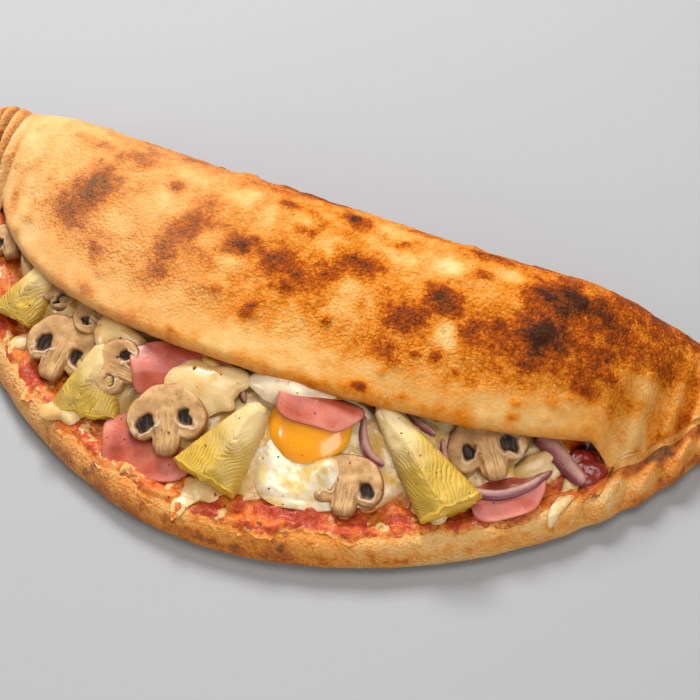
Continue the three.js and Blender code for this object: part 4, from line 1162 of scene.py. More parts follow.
def mushroom_piece(name, material, shapes, width, stem, at, lift, yaw, tilt):
    """Slice laid face up: outline radius over angle, rounded edge, and two bent hollows for the gills."""
    scale = width / SLICE_WIDTH
    seed = int(width * 7 + abs(at[0]))
    draw = np.random.default_rng(seed)
    right = SLICE.copy()
    low = right[:, 1] < SLICE_CURL
    right[low, 1] = SLICE_CURL + (right[low, 1] - SLICE_CURL) * stem
    outline = np.vstack([right, right[-2:0:-1] * (-1, 1)]) * scale
    radius, angle = disc_grid(46, 180, 0.72)
    reach = outline_radius(outline, angle)
    around = flat_at(3 * np.cos(angle), 3 * np.sin(angle), seed)
    reach = reach * (1 + 0.055 * layered_noise(around, 2.0, 3, seed))
    px, py = radius * reach * np.cos(angle), radius * reach * np.sin(angle)
    flat = flat_at(px + seed, py)
    half = 0.5 * SLICE_THICK * np.maximum(0.02, 1 - radius ** 16) ** 0.5
    ux, uy = px / scale, py / scale
    lean = draw.uniform(-0.6, 0.6)
    sizes, droops = draw.permutation([0.78, 1.05]), draw.uniform(55, 78, 2)
    slots = [gill_slot(side, ux + lean, uy + draw.uniform(-0.9, 0.7), size, droop, seed % 50)
             for side, size, droop in zip((-1, 1), sizes, droops)]
    hollow = np.minimum(*slots)
    cut_end = smooth(-9.0, -13.0 * stem, uy)
    # the gill hollows are painted near-black: partly the gills' own colour, partly painted shade
    gill = smooth(1.0, 0.76, hollow)
    off_stem = np.abs(ux + lean) - 0.25 * np.clip(uy, -6, 2)
    # the gap between each lobe and the stem is grooved and painted darker, as shade
    seam = bell(off_stem - 5.8, 0.5) * smooth(-1.0, -4.5, uy)
    margin = bell(hollow - 1.30, 0.22) * smooth(0.5, -3.0, uy)
    toasted = np.maximum(np.exp(-np.maximum(hollow - 1, 0) / 0.55), 0.8 * seam + 0.9 * cut_end)
    on_stem = smooth(5.6, 4.4, off_stem) * smooth(4.5, 0.5, uy)
    top = half + 0.35 * layered_noise(flat, 6.0, 2, 9) + 0.45 * on_stem + 0.45 * margin
    top = top - 0.5 * seam - shapes.gill_depth / MM * smooth(1.10, 0.55, hollow)
    skin = smooth(0.935, 0.975, radius) * smooth(-9, -6, uy)
    shape = lambda z: laid(np.stack([px, py, z], -1), at, lift, yaw, tilt)
    pole = laid(np.array([0, 0, top[0].mean()]), at, lift, yaw, tilt)
    under = laid(np.array([0, 0, -0.5 * SLICE_THICK]), at, lift, yaw, tilt)
    tone = np.full_like(px, 0.01 * seed)
    values = {"toast_and_shade": (toasted, 0.3), "gill": (gill, 0.0), "skin": (0.9 * skin, np.maximum(0.6, skin)),
              "stem": (on_stem, on_stem), "pale": (0.8 * margin, 0.0), "across": (px * MM, px * MM),
              "along": (py * MM, py * MM), "tone": (tone, tone)}
    disc_piece(name + "_slice", shape(top), shape(-half), pole, under, [name], "mushroom", material, values)


ARTICHOKES = {
    "artichoke_mid": dict(length=35, width=27.5, skew=0.14, at=(9, -121), lift=3.6, yaw=-17, tilt=2),
    "artichoke_left": dict(length=28, width=29, skew=0.17, at=(-51.5, -115), lift=3.2, yaw=1, tilt=2),
    "artichoke_right": dict(length=48, width=24.5, skew=-0.19, at=(73, -100), lift=3.2, yaw=55, tilt=0),
    "artichoke_far_left": dict(length=28, width=22, skew=0.1, at=(-95, -86), lift=2.6, yaw=-13, tilt=0),
}


def artichoke_material():
    """Artichoke heart: cream flesh that turns into thin yellow leaf layers, with painted shade in the slits
    between them and painted light on the leaf edges.
    """
    colours = bpy.context.scene.calzone_colours
    look = Look("artichoke", 0.36, subsurface=0.04, coat=0.12)
    cloud = look.noise(0.007, 3.0, 0.55)
    wobble = look.noise(0.0045, 2.0, 0.5)
    layered = look.value("layered")
    layer = look.value("leaf") + wobble * 1.6
    saw = layer.calc("FRACT", layer)
    yellow = look.spread(look.value("ripe") + (cloud - 0.5), 0.1, 0.9)
    colour = look.blend(yellow, colours.heart_cream, colours.leaf_yellow)
    # painted light on the leaf edges
    lit = look.spread(saw, 0.45, 0.02) * layered
    colour = look.blend(lit * 0.6, colour, LEAF_LIT)
    # painted shade in the slits between the leaves
    deep = look.spread(look.noise(0.0065, 2.0, 0.5), 0.46, 0.62, 0.28, 1.0)
    slit_shade = look.spread(saw, 0.80, 0.98) * layered
    colour = look.blend(slit_shade * deep, colour, LEAF_SLIT_SHADE)
    stain = look.spread(look.noise(0.0026, 3.0, 0.7), 0.64, 0.76, 0.0, 0.7)
    colour = look.blend(stain, colour, HEART_STAIN)
    normal = look.bump((1.0 - saw) * layered, 0.0008, layered * 0.8)
    return look.done(colour, look.bump(wobble, 0.0009, 0.4, normal))


def artichoke_piece(name, material, shapes, length, width, skew, at, lift, yaw, tilt):
    """Quartered heart: rounded-square rings that widen from the stalk end to the leaf ends, with leaf steps."""
    t = np.concatenate([np.linspace(0, 0.95, 120), np.linspace(0.955, 1.0, 18)])[:, None]
    angle = (2 * np.pi * np.arange(156) / 156)[None, :]
    plump = np.minimum(1, 0.6 + 7 * t) * (1 - 0.30 * smooth(0.965, 1.0, t) ** 2)
    half = width * plump * (0.13 + 0.37 * t ** 0.9)
    tall = plump * (4.2 + 1.8 * np.sin(np.pi * (0.2 + 0.6 * t)))
    cosine, sine = np.cos(angle), np.sin(angle)
    share = np.sign(cosine) * np.abs(cosine) ** 0.72
    across = half * share
    up = tall * np.sign(sine) * np.abs(sine) ** 0.6
    along = length * (0.5 - t) + skew * across * t * t
    torn = layered_noise(np.stack([across + at[0], 0 * across, up], -1), 3.4, 2, 61)
    along = along - 0.9 * torn * smooth(0.8, 1.0, t)
    pitch = shapes.leaf_pitch / MM
    # the leaves fold round a heart line that drifts to one side towards their ends
    centre = 0.16 * half * np.sin(at[0]) + 0.8 * np.sin(9 * t + at[0])
    off = across - centre
    bend = np.where(off > 0, 0.95, 1.35) * np.sqrt(off ** 2 + 2.5)
    sway = 1.3 * layered_noise(flat_at(across + at[0], along), 6.5, 2, 37)
    leaf = (length * t * 0.42 + bend + sway) / pitch
    layered = smooth(0.34, 0.56, t + 0.10 * np.abs(share)) * smooth(0.96, 0.945, t)
    step = (np.abs(np.sin(np.pi * leaf)) - 0.5) * 0.3 * layered
    ridge = bell(across - centre, 0.3 * half)
    up = up + (1.0 * ridge * np.sin(np.pi * t) + step) * (sine > 0) * plump
    grid = np.stack([across, along, up], -1)
    grid[..., 2] += 0.45 * layered_noise(grid + at[0], 7.0, 2, 3)
    ripe = smooth(0.22, 0.95, t + 0.14 * np.abs(share)) * np.ones_like(across)
    values = {"leaf": leaf, "layered": layered * (sine > -0.4), "ripe": ripe}
    tube_piece(name + "_heart", laid(grid, at, lift, yaw, tilt), [name], material, values)


HAMS = {
    "ham_over_yolk": dict(rx=16.5, ry=10, at=(33, -98.5), lift=8.4, yaw=0, tilt=-17, roll=6, curl=-0.5,
                          fold=2.5),
    "ham_folded": dict(rx=19.5, ry=12, at=(-21.5, -104.5), lift=5.4, yaw=12, tilt=0, roll=5, curl=1, fold=3),
    "ham_front_left": dict(rx=20, ry=12.5, at=(-21, -131), lift=1.4, yaw=4, tilt=4, roll=0, curl=0.6, fold=0.8),
    "ham_front_right": dict(rx=15, ry=10.5, at=(106, -96), lift=1.7, yaw=32, tilt=0, roll=0, curl=0.4,
                            fold=0.6),
}


def ham_material():
    """Cooked ham: even pink with soft marbling, paler towards the rim, which ends in a thin dark line."""
    look = Look("ham", 0.38, coat=0.15, specular=0.35)
    cloud = look.noise(0.013, 2.5, 0.5)
    grain = look.noise(0.0016, 3.0, 0.6)
    pink, rim = np.array(bpy.context.scene.calzone_colours.ham_pink), look.value("rim")
    colour = look.ramp(cloud, [(0.32, pink * (0.70, 0.50, 0.5)), (0.50, pink),
                               (0.70, mix(pink, np.array(HAM_PALE), 0.35))])
    colour = look.blend(look.spread(grain, 0.55, 0.80, 0.0, 0.18), colour, HAM_MARBLE)
    colour = look.blend(look.spread(rim, 0.74, 0.93) * 0.3, colour, HAM_FAT)
    colour = look.blend(look.spread(rim, 0.955, 0.995) * 0.8, colour, HAM_EDGE)
    return look.done(colour, look.bump(grain, 0.0004, 0.35))


def ham_piece(name, material, rx, ry, at, lift, yaw, tilt, roll, curl, fold):
    """Thin wavy slice: its rim lifts by curl and the whole bends over its long axis by fold."""
    radius, angle = disc_grid(48, 150, 0.8)
    ripple = 1 + 0.06 * np.sin(3 * angle + 1) + 0.04 * np.sin(5 * angle)
    full = lambda value: np.sign(value) * np.abs(value) ** 0.86
    px, py = rx * radius * ripple * full(np.cos(angle)), ry * radius * ripple * full(np.sin(angle))
    wave = curl * radius ** 2 + 0.7 * radius ** 2 * np.sin(4 * angle + 0.6) - fold * (py / ry) ** 2
    flat = flat_at(px + at[0], py)
    wave = wave + 0.3 * layered_noise(flat, 9.0, 2, 13) * radius
    half = (0.7 - 0.35 * radius ** 2) * np.sqrt(1 - 0.97 * radius ** 20)
    shape = lambda side: laid(np.stack([px, py, wave + side * half], -1), at, lift, yaw, tilt, roll)
    poles = [laid(np.array([0, 0, side * 0.95]), at, lift, yaw, tilt, roll) for side in (1, -1)]
    rim = np.broadcast_to(radius, px.shape)
    disc_piece(name + "_slice", shape(1), shape(-1), *poles, [name], "ham", material, {"rim": (rim, rim)})


ONIONS = {
    "onion_wedge": dict(path=[(109, -72), (116, -73), (124, -76), (131, -80)], width=6.5, tall=4.5, lift=2.0),
    "onion_ring": dict(path=[(79, -90), (84, -97), (94, -101), (105, -98), (114, -90), (119, -81)],
                       width=3.6, tall=3.4, lift=3.0),
    "onion_curl": dict(path=[(49, -93), (52, -100), (57, -105), (63, -106)], width=3.6, tall=3.2, lift=1.6),
    "onion_strip": dict(path=[(-3, -93), (1, -99), (6, -105)], width=3.2, tall=3.0, lift=1.4),
    "onion_short": dict(path=[(63, -85), (69, -88), (76, -89)], width=3.2, tall=3.0, lift=1.4),
}


def onion_material():
    """Red onion: a purple skin line, then a clear white body with fine lengthwise veins."""
    colours = bpy.context.scene.calzone_colours
    look = Look("red_onion", 0.25, subsurface=0.10, coat=0.35, radius=ONION_DEPTH)
    side = look.value("side")
    share = side + (look.noise(0.004, 2.5, 0.6) - 0.5) * 0.35
    purple, white = np.array(colours.onion_purple), np.array(colours.onion_white)
    colour = look.ramp(share, [
        (0.08, purple * 0.8), (0.20, purple), (0.34, mix(purple, white, 0.45)), (0.50, white * (1, 0.85, 0.85)),
        (0.66, white), (0.84, white * (0.95, 0.8, 0.8)), (0.97, mix(purple, white, 0.5)),
    ])
    return look.done(colour, look.bump(side.calc("SINE", side * 60.0), 0.0003, 0.3))


def onion_piece(name, material, path, width, tall, lift):
    """Strip along an arc: a flattened oval carried along the path, slimmer at its ends, leaning inwards."""
    curve = through(path, 90)
    step = np.gradient(curve, axis=0)
    along = step / np.linalg.norm(step, axis=1, keepdims=True)
    t = np.linspace(0, 1, len(curve))[:, None]
    slim = 0.45 + 0.55 * np.sin(np.pi * mix(0.12, 0.88, t))
    slim = slim * np.sqrt(1 - np.abs(2 * t - 1) ** 14 * 0.9)
    angle = (-2 * np.pi * np.arange(28) / 28)[None, :]
    off = 0.5 * width * slim * np.cos(angle)
    base = bed_top(curve[:, 0], curve[:, 1])[:, None] + lift
    up = base + 0.5 * tall * slim * np.sin(angle) + 0.35 * off
    grid = np.stack([curve[:, :1] - along[:, 1:] * off, curve[:, 1:] + along[:, :1] * off, up], -1)
    side = np.broadcast_to(0.5 + 0.5 * np.cos(angle), off.shape)
    tube_piece(name + "_strip", grid, [name], material, {"side": side})


POOLS = {
    "mozzarella": dict(at=(25, -93), rx=24, ry=9, rise=6, sink=3, lobes=3),
    "tomato_piece": dict(at=(129, -72), rx=7.5, ry=8, rise=2.6, sink=2.5, lobes=3),
    "egg_white": dict(at=(33, -114), rx=28, ry=18, rise=2, sink=2.2, lobes=4),
}


# x, y, rise and radius of swellings in the egg white
EGG_LUMPS = [
    (45, -117.5, 5.0, 5.5), (32, -104, -2.2, 14), (26, -130, 1.4, 5), (38, -131, 1.0, 4), (50, -128, 1.2, 4),
]


def pool_piece(name, piece_name, material, slot, relief, at, rx, ry, rise, sink, lobes, lumps=()):
    """Low lobed pool lying in the bed: a flattened dome over a wavy outline."""
    radius, angle = disc_grid(60, 170, 0.85)
    outline = 1 + 0.09 * np.sin(lobes * angle + 1) + 0.06 * np.sin((lobes + 2) * angle)
    px = at[0] + rx * radius * outline * np.cos(angle)
    py = at[1] + ry * radius * outline * np.sin(angle)
    flat = flat_at(px, py)
    bed = bed_top(px, py)
    top = bed + rise * np.sqrt(np.maximum(0, 1 - 0.92 * radius ** 2)) + 0.2 - 1.6 * radius ** 8
    top = top + relief * layered_noise(flat, 5.0, 3, 67) * smooth(1.0, 0.8, radius)
    for lump_x, lump_y, lump, size in lumps:
        top = top + lump * bell(np.hypot(px - lump_x, py - lump_y), size)
    bottom = bed - sink * (1 - 0.75 * radius ** 2)
    poles = [(*at, float(bed_top(*at)) + rise + 0.2), (*at, float(bed_top(*at)) - sink)]
    grid = lambda z: np.stack([px, py, z], -1)
    rim = np.broadcast_to(radius, px.shape)
    disc_piece(piece_name, grid(top), grid(bottom), *poles, [name], slot, material, {"rim": (rim, rim)})


def white_material(name, colour, yellow):
    """Soft white melt: cream clouds and a fine skin."""
    look = Look(name, 0.27, subsurface=0.12, coat=0.4, radius=WHITE_DEPTH)
    cloud = look.noise(0.007, 3.0, 0.6, 0.6)
    fine = look.noise(0.0022, 3.0, 0.6)
    colour = look.ramp(cloud, [(0.38, yellow), (0.54, colour)])
    colour = look.blend(look.spread(fine, 0.64, 0.76, 0.0, 0.7), colour, WHITE_STAIN)
    return look.done(colour, look.bump(fine, 0.0005, 0.3))


def melted_material(name, base, tones):
    """Smooth melt: oily yellow, cream and white clouds, as shares of a base colour, with a few stains."""
    look = Look(name, 0.3, subsurface=0.1, coat=0.2, specular=0.35, radius=CHEESE_DEPTH)
    cloud = look.noise(0.009, 2.5, 0.5, 0.4)
    stain = look.noise(0.0034, 3.0, 0.65)
    colour = look.ramp(cloud, [(at, np.array(base) * tone) for at, tone in zip((0.36, 0.48, 0.68), tones)])
    colour = look.blend(look.spread(stain, 0.60, 0.74, 0.0, 0.7), colour, MELT_STAIN)
    return look.done(colour, look.bump(stain, 0.0008, 0.3))


def plain_material(name, colour, roughness, subsurface, coat, size, depth):
    """Moist even finish with soft clouds of lighter and darker tone."""
    look = Look(name, roughness, subsurface=subsurface, coat=coat)
    cloud, tone = look.noise(size, 3.0, 0.6), np.array(colour)
    colour = look.ramp(cloud, [(0.30, tone * 0.85), (0.55, tone), (0.75, tone ** 0.92)])
    return look.done(colour, look.bump(cloud, depth, 0.4))


YOLK = dict(at=(32, -103), radius=16.0, rise=8.0)


def yolk_piece(material):
    """Yolk: a squashed dome tipped with the bed, on a flat base."""
    x, y = YOLK["at"]
    size = YOLK["radius"]
    base = float(bed_top(x, y)) + 0.5
    radius, angle = disc_grid(48, 128, 0.9)
    cosine, sine = size * np.cos(angle), size * np.sin(angle)
    out, dome = np.sin(radius * np.pi / 2), YOLK["rise"] * np.cos(radius * np.pi / 2) ** 1.2
    top = np.stack([x + out * cosine, y + 0.94 * out * sine, base + 0.33 * out * sine + dome], -1)
    under = base - 1.6 + 0.31 * radius * sine
    bottom = np.stack([x + 0.93 * radius * cosine, y + 0.88 * radius * sine, under], -1)
    poles = [(x, y, base + YOLK["rise"]), (x, y, base - 1.6)]
    disc_piece("yolk_dome", top, bottom, *poles, ["egg_yolk"], "egg_yolk", material)


# melted cheese that lies over other toppings: half sizes, place, lift, turn, thickness, droop of its edge
BLOBS = {
    "cheese_over_ham": dict(rx=19, ry=10, at=(-11, -107), lift=5.8, yaw=8, thick=1.4, droop=3.2),
    "cheese_under_lip": dict(rx=13, ry=7, at=(-52, -97), lift=3.2, yaw=-10, thick=2.2, droop=2.4),
    "cheese_by_mushroom": dict(rx=8, ry=6, at=(-59, -128), lift=2.0, yaw=20, thick=1.6, droop=1.2),
    "cheese_front": dict(rx=9, ry=5, at=(6, -137), lift=-0.4, yaw=-8, thick=0.9, droop=0.8),
    "cheese_far_left": dict(rx=8, ry=4, at=(-90, -104), lift=0.2, yaw=38, thick=0.8, droop=0.8),
    "cheese_right": dict(rx=8, ry=5, at=(84, -112), lift=1.4, yaw=20, thick=1.8, droop=1.4),
    "cheese_far_right": dict(rx=9, ry=5, at=(112, -83), lift=1.4, yaw=40, thick=1.8, droop=1.4),
}
WHITE_BLOBS = {
    "mozzarella_over_ham": dict(rx=14, ry=8, at=(21, -97), lift=9.0, yaw=10, thick=1.8, droop=3.4),
}


def blob_piece(name, material, slot, rx, ry, at, lift, yaw, thick, droop):
    """Drop of melt: a low dome over a wandering outline whose edge hangs down and rounds under."""
    radius, angle = disc_grid(40, 120, 0.85)
    around = flat_at(2 * np.cos(angle) + at[0], 2 * np.sin(angle))
    reach = 1 + 0.34 * layered_noise(around, 1.8, 2, 43)
    spread_out = radius * (1 + (reach - 1) * radius ** 2)
    px, py = rx * spread_out * np.cos(angle), ry * spread_out * np.sin(angle)
    flat = flat_at(px + at[0], py + at[1])
    sag = -droop * radius ** 2 + 0.2 * layered_noise(flat, 7.0, 2, 47)
    dome = thick * np.sqrt(np.maximum(0, 1 - radius ** 4))
    shape = lambda z: laid(np.stack([px, py, z], -1), at, lift, yaw)
    poles = [laid(np.array([0, 0, z]), at, lift, yaw) for z in (sag[0].mean() + thick, sag[0].mean() - 1.2)]
    stain = 0.10 + 0.35 * radius ** 6
    disc_piece(name, shape(sag + dome), shape(sag - 1.2 * np.sqrt(1 - radius ** 8)), *poles, [], slot, material,
               {"stain": (stain, stain)})


DRIPS = {
    "cheese_drip_left": dict(x=1.0, start=-138, stop=-152, width=9, thick=0.9),
    "cheese_drip_right": dict(x=126, start=-79, stop=-99, width=6, thick=1.0),
}


def drip_piece(name, material, x, start, stop, width, thick):
    """Tongue of melted cheese over the crust: a low half-round carried along a line square to the fold."""
    t = np.linspace(0, 1, 70)[:, None]
    y = mix(start, stop, t)
    half = 0.5 * width * (1.0 - 0.35 * t) * np.sqrt(np.maximum(0, 1 - (0.98 * t) ** 5))
    angle = (2 * np.pi * np.arange(40) / 40)[None, :]
    px = x + half * np.cos(angle) + 0.9 * np.sin(5 * t + x)
    y = np.broadcast_to(y, px.shape)
    inside = (y - front_y(px)) / rim_scale(px)
    bed = np.where(inside > BED_EDGE - 1, bed_top(px, y) + bed_fill(px, y), 0)
    over_bed = np.maximum(sauce_top(px, y), bed)
    ground = np.where(inside > RIM[RIM_HIDDEN, 0], over_bed, rim_height(inside))
    sine = np.sin(angle)
    up = np.where(sine > 0, thick * sine, 0.3 * sine)
    grid = np.stack([px, y, ground + 0.7 + up * (1 - 0.5 * t)], -1)
    grid[..., 2] += 0.35 * layered_noise(grid, 4.0, 2, 71) * (sine > 0)
    tube_piece(name + "_tongue", grid, [name], material)


def speck_material(herb):
    """Dried flakes: dark herb with a few reddish brown grains."""
    look = Look("herb_flakes", 0.6)
    stops = list(zip((0.40, 0.50, 0.62), (herb, *FLAKE_SHADES)))
    return look.done(look.ramp(look.noise(0.004, 1.0, 0.5), stops))


def herb_flakes(shapes, colours):
    """Flakes strewn where nothing lies above: squashed eight-sided grains on drawn points of the filling."""
    cell = 1.0 * MM
    spots, facing, sources = [], [], []
    for index, piece in enumerate(bpy.context.scene.objects):
        if piece.type != "MESH":
            continue
        count = len(piece.data.vertices)
        place, normal = np.empty(count * 3, np.float32), np.empty(count * 3, np.float32)
        piece.data.vertices.foreach_get("co", place)
        piece.data.vertex_normals.foreach_get("vector", normal)
        spots.append(place.reshape(-1, 3))
        facing.append(normal.reshape(-1, 3))
        sources.append(np.full(count, piece.name.startswith("baked_dough")))
    spots, facing, dough = (np.concatenate(part).astype(part[0].dtype) for part in (spots, facing, sources))
    column = np.round(spots[:, :2] / cell).astype(int)
    column -= column.min(0)
    key = column[:, 0] * (column[:, 1].max() + 1) + column[:, 1]
    highest = np.full(key.max() + 1, -1.0)
    np.maximum.at(highest, key, spots[:, 2])
    shown = (spots[:, 2] > highest[key] - 0.0004) & (facing[:, 2] > 0.35)
    inside = (spots[:, 1] / MM - SHIFT_Y) - front_y(spots[:, 0] / MM - SHIFT_X)
    near, far, rare = FLAKE_RIM
    chance = np.where(dough, np.where((inside > near) & (inside < far), rare, 0.0), 1.0) * shown
    draw = np.random.default_rng(FLAKE_SEED)
    # a point's chance falls with how closely its own column is filled, so that dense meshes get no more
    filled = np.bincount(key, weights=chance)[key]
    chance = np.where(chance > 0, chance / np.maximum(filled, 1e-9) * np.where(dough, 0.12, 1.0), 0)
    picked = draw.choice(len(spots), shapes.speck_count, replace=False, p=chance / chance.sum())
    shape = np.array([(1, 0, 0), (0.2, 0.8, 0), (-1, 0.1, 0), (-0.1, -0.7, 0), (0, 0, 0.4), (0, 0, -0.4)])
    sides = np.array([(0, 1, 4), (1, 2, 4), (2, 3, 4), (3, 0, 4), (1, 0, 5), (2, 1, 5), (3, 2, 5), (0, 3, 5)])
    size = shapes.speck_size * draw.lognormal(-0.35, 0.45, (len(picked), 1, 1)) * 0.5
    local = shape[None] * size * draw.uniform(0.5, 1.3, (len(picked), 1, 3))
    turn = draw.uniform(0, 2 * np.pi, len(picked))
    up = facing[picked]
    side = np.cross(up, np.stack([np.cos(turn), np.sin(turn), np.full_like(turn, 0.1)], -1))
    side /= np.linalg.norm(side, axis=1, keepdims=True)
    other = np.cross(up, side)
    basis = np.stack([side, other, up], 1)
    points = spots[picked][:, None] + local @ basis + up[:, None] * FLAKE_LIFT
    faces = (sides[None] + 6 * np.arange(len(picked))[:, None, None]).reshape(-1, 3)
    work = points.reshape(-1, 3) / MM - np.array([SHIFT_X, SHIFT_Y, 0.0])
    new_piece("herb_flakes", work, [], faces, [], speck_material(colours.herb_dark))


# ------------------------------------------------------------------ operators
class PieceOperator:
    """What the makers share: each makes its pieces from the panel's settings."""
    bl_options = {"REGISTER", "UNDO"}

    def execute(self, context):
        self.make(context.scene.calzone_shapes, context.scene.calzone_colours)
        return {"FINISHED"}


class CALZONE_OT_dough(PieceOperator, bpy.types.Operator):
    """Folded dough: flap, raised crust and pinched ends in one baked piece"""
    bl_idname = "calzone.dough"
    bl_label = "Baked dough"

    def make(self, shapes, colours):
        dough_piece(shapes)


class CALZONE_OT_beds(PieceOperator, bpy.types.Operator):
    """Sauce fringe and melted cheese bed"""
    bl_idname = "calzone.beds"
    bl_label = "Sauce and cheese"

    def make(self, shapes, colours):
        sauce_piece()
        cheese_piece()
        melt = melted_material("melt_over_toppings", colours.cheese_cream, MELT_TONES)
        for name, sizes in DRIPS.items():
            drip_piece(name, melt, **sizes)
        for name, sizes in BLOBS.items():
            blob_piece(name, melt, "cheese", **sizes)


class CALZONE_OT_egg(PieceOperator, bpy.types.Operator):
    """Egg white, yolk, mozzarella pool and tomato piece"""
    bl_idname = "calzone.egg"
    bl_label = "Egg and pools"

    def make(self, shapes, colours):
        yolk_piece(plain_material("yolk", colours.yolk_orange, 0.18, 0.5, 0.8, 0.020, 0.0001))
        white = white_material("egg_white", colours.cheese_white, WHITE_YELLOW)
        pool_piece("egg_white", "egg_white_pool", white, "egg_white", 0.4, lumps=EGG_LUMPS,
                   **POOLS["egg_white"])
        melt = white_material("mozzarella", colours.cheese_white, colours.cheese_cream)
        pool_piece("mozzarella", "mozzarella_pool", melt, "mozzarella", 0.3, **POOLS["mozzarella"])
        soft = melted_material("soft_mozzarella", colours.cheese_white, SOFT_TONES)
        for name, sizes in WHITE_BLOBS.items():
            blob_piece(name, soft, "mozzarella", **sizes)
        red = plain_material("tomato", colours.tomato_red, 0.3, 0.05, 0.25, 0.004, 0.0008)
        pool_piece("tomato_piece", "tomato_slice", red, "tomato", 0.5, **POOLS["tomato_piece"])


class CALZONE_OT_mushrooms(PieceOperator, bpy.types.Operator):
    """Mushroom slices laid face up"""
    bl_idname = "calzone.mushrooms"
    bl_label = "Mushrooms"

    def make(self, shapes, colours):
        material = mushroom_material()
        for name, sizes in MUSHROOMS.items():
            mushroom_piece(name, material, shapes, **sizes)


class CALZONE_OT_artichokes(PieceOperator, bpy.types.Operator):
    """Quartered artichoke hearts"""
    bl_idname = "calzone.artichokes"
    bl_label = "Artichokes"

    def make(self, shapes, colours):
        material = artichoke_material()
        for name, sizes in ARTICHOKES.items():
            artichoke_piece(name, material, shapes, **sizes)


class CALZONE_OT_ham(PieceOperator, bpy.types.Operator):
    """Slices of cooked ham"""
    bl_idname = "calzone.ham"
    bl_label = "Ham"

    def make(self, shapes, colours):
        material = ham_material()
        for name, sizes in HAMS.items():
            ham_piece(name, material, **sizes)


class CALZONE_OT_onions(PieceOperator, bpy.types.Operator):
    """Strips of red onion"""
    bl_idname = "calzone.onions"
    bl_label = "Onions"

    def make(self, shapes, colours):
        material = onion_material()
        for name, sizes in ONIONS.items():
            onion_piece(name, material, **sizes)


class CALZONE_OT_herbs(PieceOperator, bpy.types.Operator):
    """Herb flakes and pepper strewn over the filling"""
    bl_idname = "calzone.herbs"
    bl_label = "Herb flakes"

    def make(self, shapes, colours):
        herb_flakes(shapes, colours)


# area lights: place, width and height of the panel, power; all face the middle of the calzone
LIGHTS = {
    "key": ((-0.55, 0.80, 1.05), (0.45, 0.45), 30.0),
    "top": ((0.05, 0.0, 1.5), (0.9, 0.7), 11.0),
    "fill": ((1.1, -0.8, 0.8), (1.2, 1.0), 13.0),
    "side": ((-1.2, -0.72, 0.46), (0.3, 0.3), 5.0),
}
LIT_POINT = Vector((0.0, 0.0, 0.02))
WORLD_STRENGTH = 0.23
FLOOR_REACH = 3.0
FLOOR_Z = -0.0002
SENSOR = 36.0


def link_object(name, data, place, facing):
    """An object at a place whose -z axis points along the facing direction."""
    made = bpy.data.objects.new(name, data)
    bpy.context.scene.collection.objects.link(made)
    made.location = place
    made.rotation_mode = "QUATERNION"
    made.rotation_quaternion = facing.to_track_quat("-Z", "Y")
    return made


def area_light(name, place, size, power):
    """Soft rectangular light that faces the middle of the calzone."""
    light = bpy.data.lights.new(name, "AREA")
    light.shape = "RECTANGLE"
    light.size, light.size_y = size
    light.energy = power
    link_object(name, light, place, LIT_POINT - Vector(place))


def floor_object(tone):
    """A wide flat square just under the part, with faint clouds of tone."""
    mesh = bpy.data.meshes.new("floor")
    corners = [(-1, -1), (1, -1), (1, 1), (-1, 1)]
    mesh.from_pydata([(x * FLOOR_REACH, y * FLOOR_REACH, FLOOR_Z) for x, y in corners], [], [(0, 1, 2, 3)])
    look = Look("floor", 0.7, specular=0.25)
    cloud = look.noise(0.35, 2.0, 0.5)
    mesh.materials.append(look.done(look.ramp(cloud, [(0.3, tone * 0.985), (0.7, tone * 1.015)])))
    floor = bpy.data.objects.new("floor", mesh)
    bpy.context.scene.collection.objects.link(floor)
    return floor


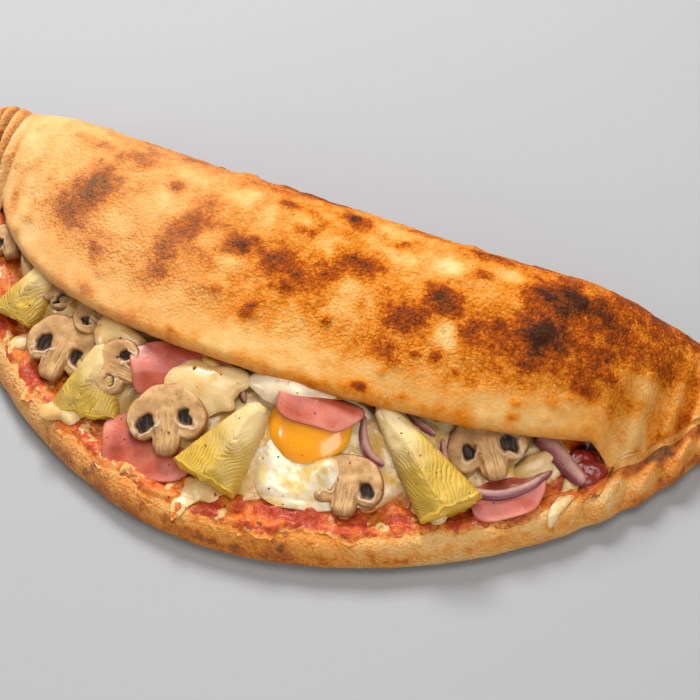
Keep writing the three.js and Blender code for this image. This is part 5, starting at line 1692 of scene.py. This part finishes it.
class CALZONE_OT_stage(bpy.types.Operator):
    """Pale floor, soft light and the camera"""
    bl_idname = "calzone.stage"
    bl_label = "Stage"

    def execute(self, context):
        scene, stage = context.scene, context.scene.calzone_stage
        a, e = stage.azimuth, stage.elevation
        back = Vector((math.sin(a) * math.cos(e), -math.cos(a) * math.cos(e), math.sin(e)))
        data = bpy.data.cameras.new("camera")
        data.lens, data.sensor_width = stage.lens, SENSOR
        data.clip_start, data.clip_end = 0.01, 20.0
        scene.camera = link_object("camera", data, Vector(stage.target) + back * stage.distance, -back)
        floor_object(np.array(stage.floor_colour))
        for name, (place, size, power) in LIGHTS.items():
            area_light(name, place, size, power)
        world = bpy.data.worlds.new("studio")
        world.use_nodes = True
        sky = world.node_tree.nodes["Background"].inputs
        sky["Color"].default_value = (1.0, 1.0, 1.0, 1.0)
        sky["Strength"].default_value = WORLD_STRENGTH
        scene.world = world
        scene.view_settings.view_transform = "Standard"
        return {"FINISHED"}


class CALZONE_PT_panel(bpy.types.Panel):
    """Lists the calzone's settings and its makers"""
    bl_label = "Calzone"
    bl_idname = "CALZONE_PT_panel"
    bl_space_type = "VIEW_3D"
    bl_region_type = "UI"
    bl_category = "Calzone"

    def draw(self, context):
        for group in (context.scene.calzone_shapes, context.scene.calzone_colours, context.scene.calzone_stage):
            box = self.layout.box()
            for key in group.__annotations__:
                box.prop(group, key)
        for maker in MAKERS:
            self.layout.operator(maker.bl_idname)


MAKERS = (CALZONE_OT_dough, CALZONE_OT_beds, CALZONE_OT_egg, CALZONE_OT_mushrooms, CALZONE_OT_artichokes,
          CALZONE_OT_ham, CALZONE_OT_onions, CALZONE_OT_herbs, CALZONE_OT_stage)
GROUPS = {"calzone_shapes": CalzoneShapes, "calzone_colours": CalzoneColours, "calzone_stage": CalzoneStage}


def register():
    """Adds the settings, the makers and the panel."""
    for kind in (*GROUPS.values(), *MAKERS, CALZONE_PT_panel):
        bpy.utils.register_class(kind)
    for name, kind in GROUPS.items():
        setattr(bpy.types.Scene, name, bpy.props.PointerProperty(type=kind))


def unregister():
    """Takes them away again, last one first."""
    for name in GROUPS:
        delattr(bpy.types.Scene, name)
    for kind in (CALZONE_PT_panel, *reversed(MAKERS), *reversed(GROUPS.values())):
        bpy.utils.unregister_class(kind)


def main():
    """Makes every piece and the stage."""
    register()
    bpy.ops.calzone.dough()
    bpy.ops.calzone.beds()
    bpy.ops.calzone.egg()
    bpy.ops.calzone.mushrooms()
    bpy.ops.calzone.artichokes()
    bpy.ops.calzone.ham()
    bpy.ops.calzone.onions()
    bpy.ops.calzone.herbs()
    bpy.ops.calzone.stage()


if __name__ == "__main__":
    main()
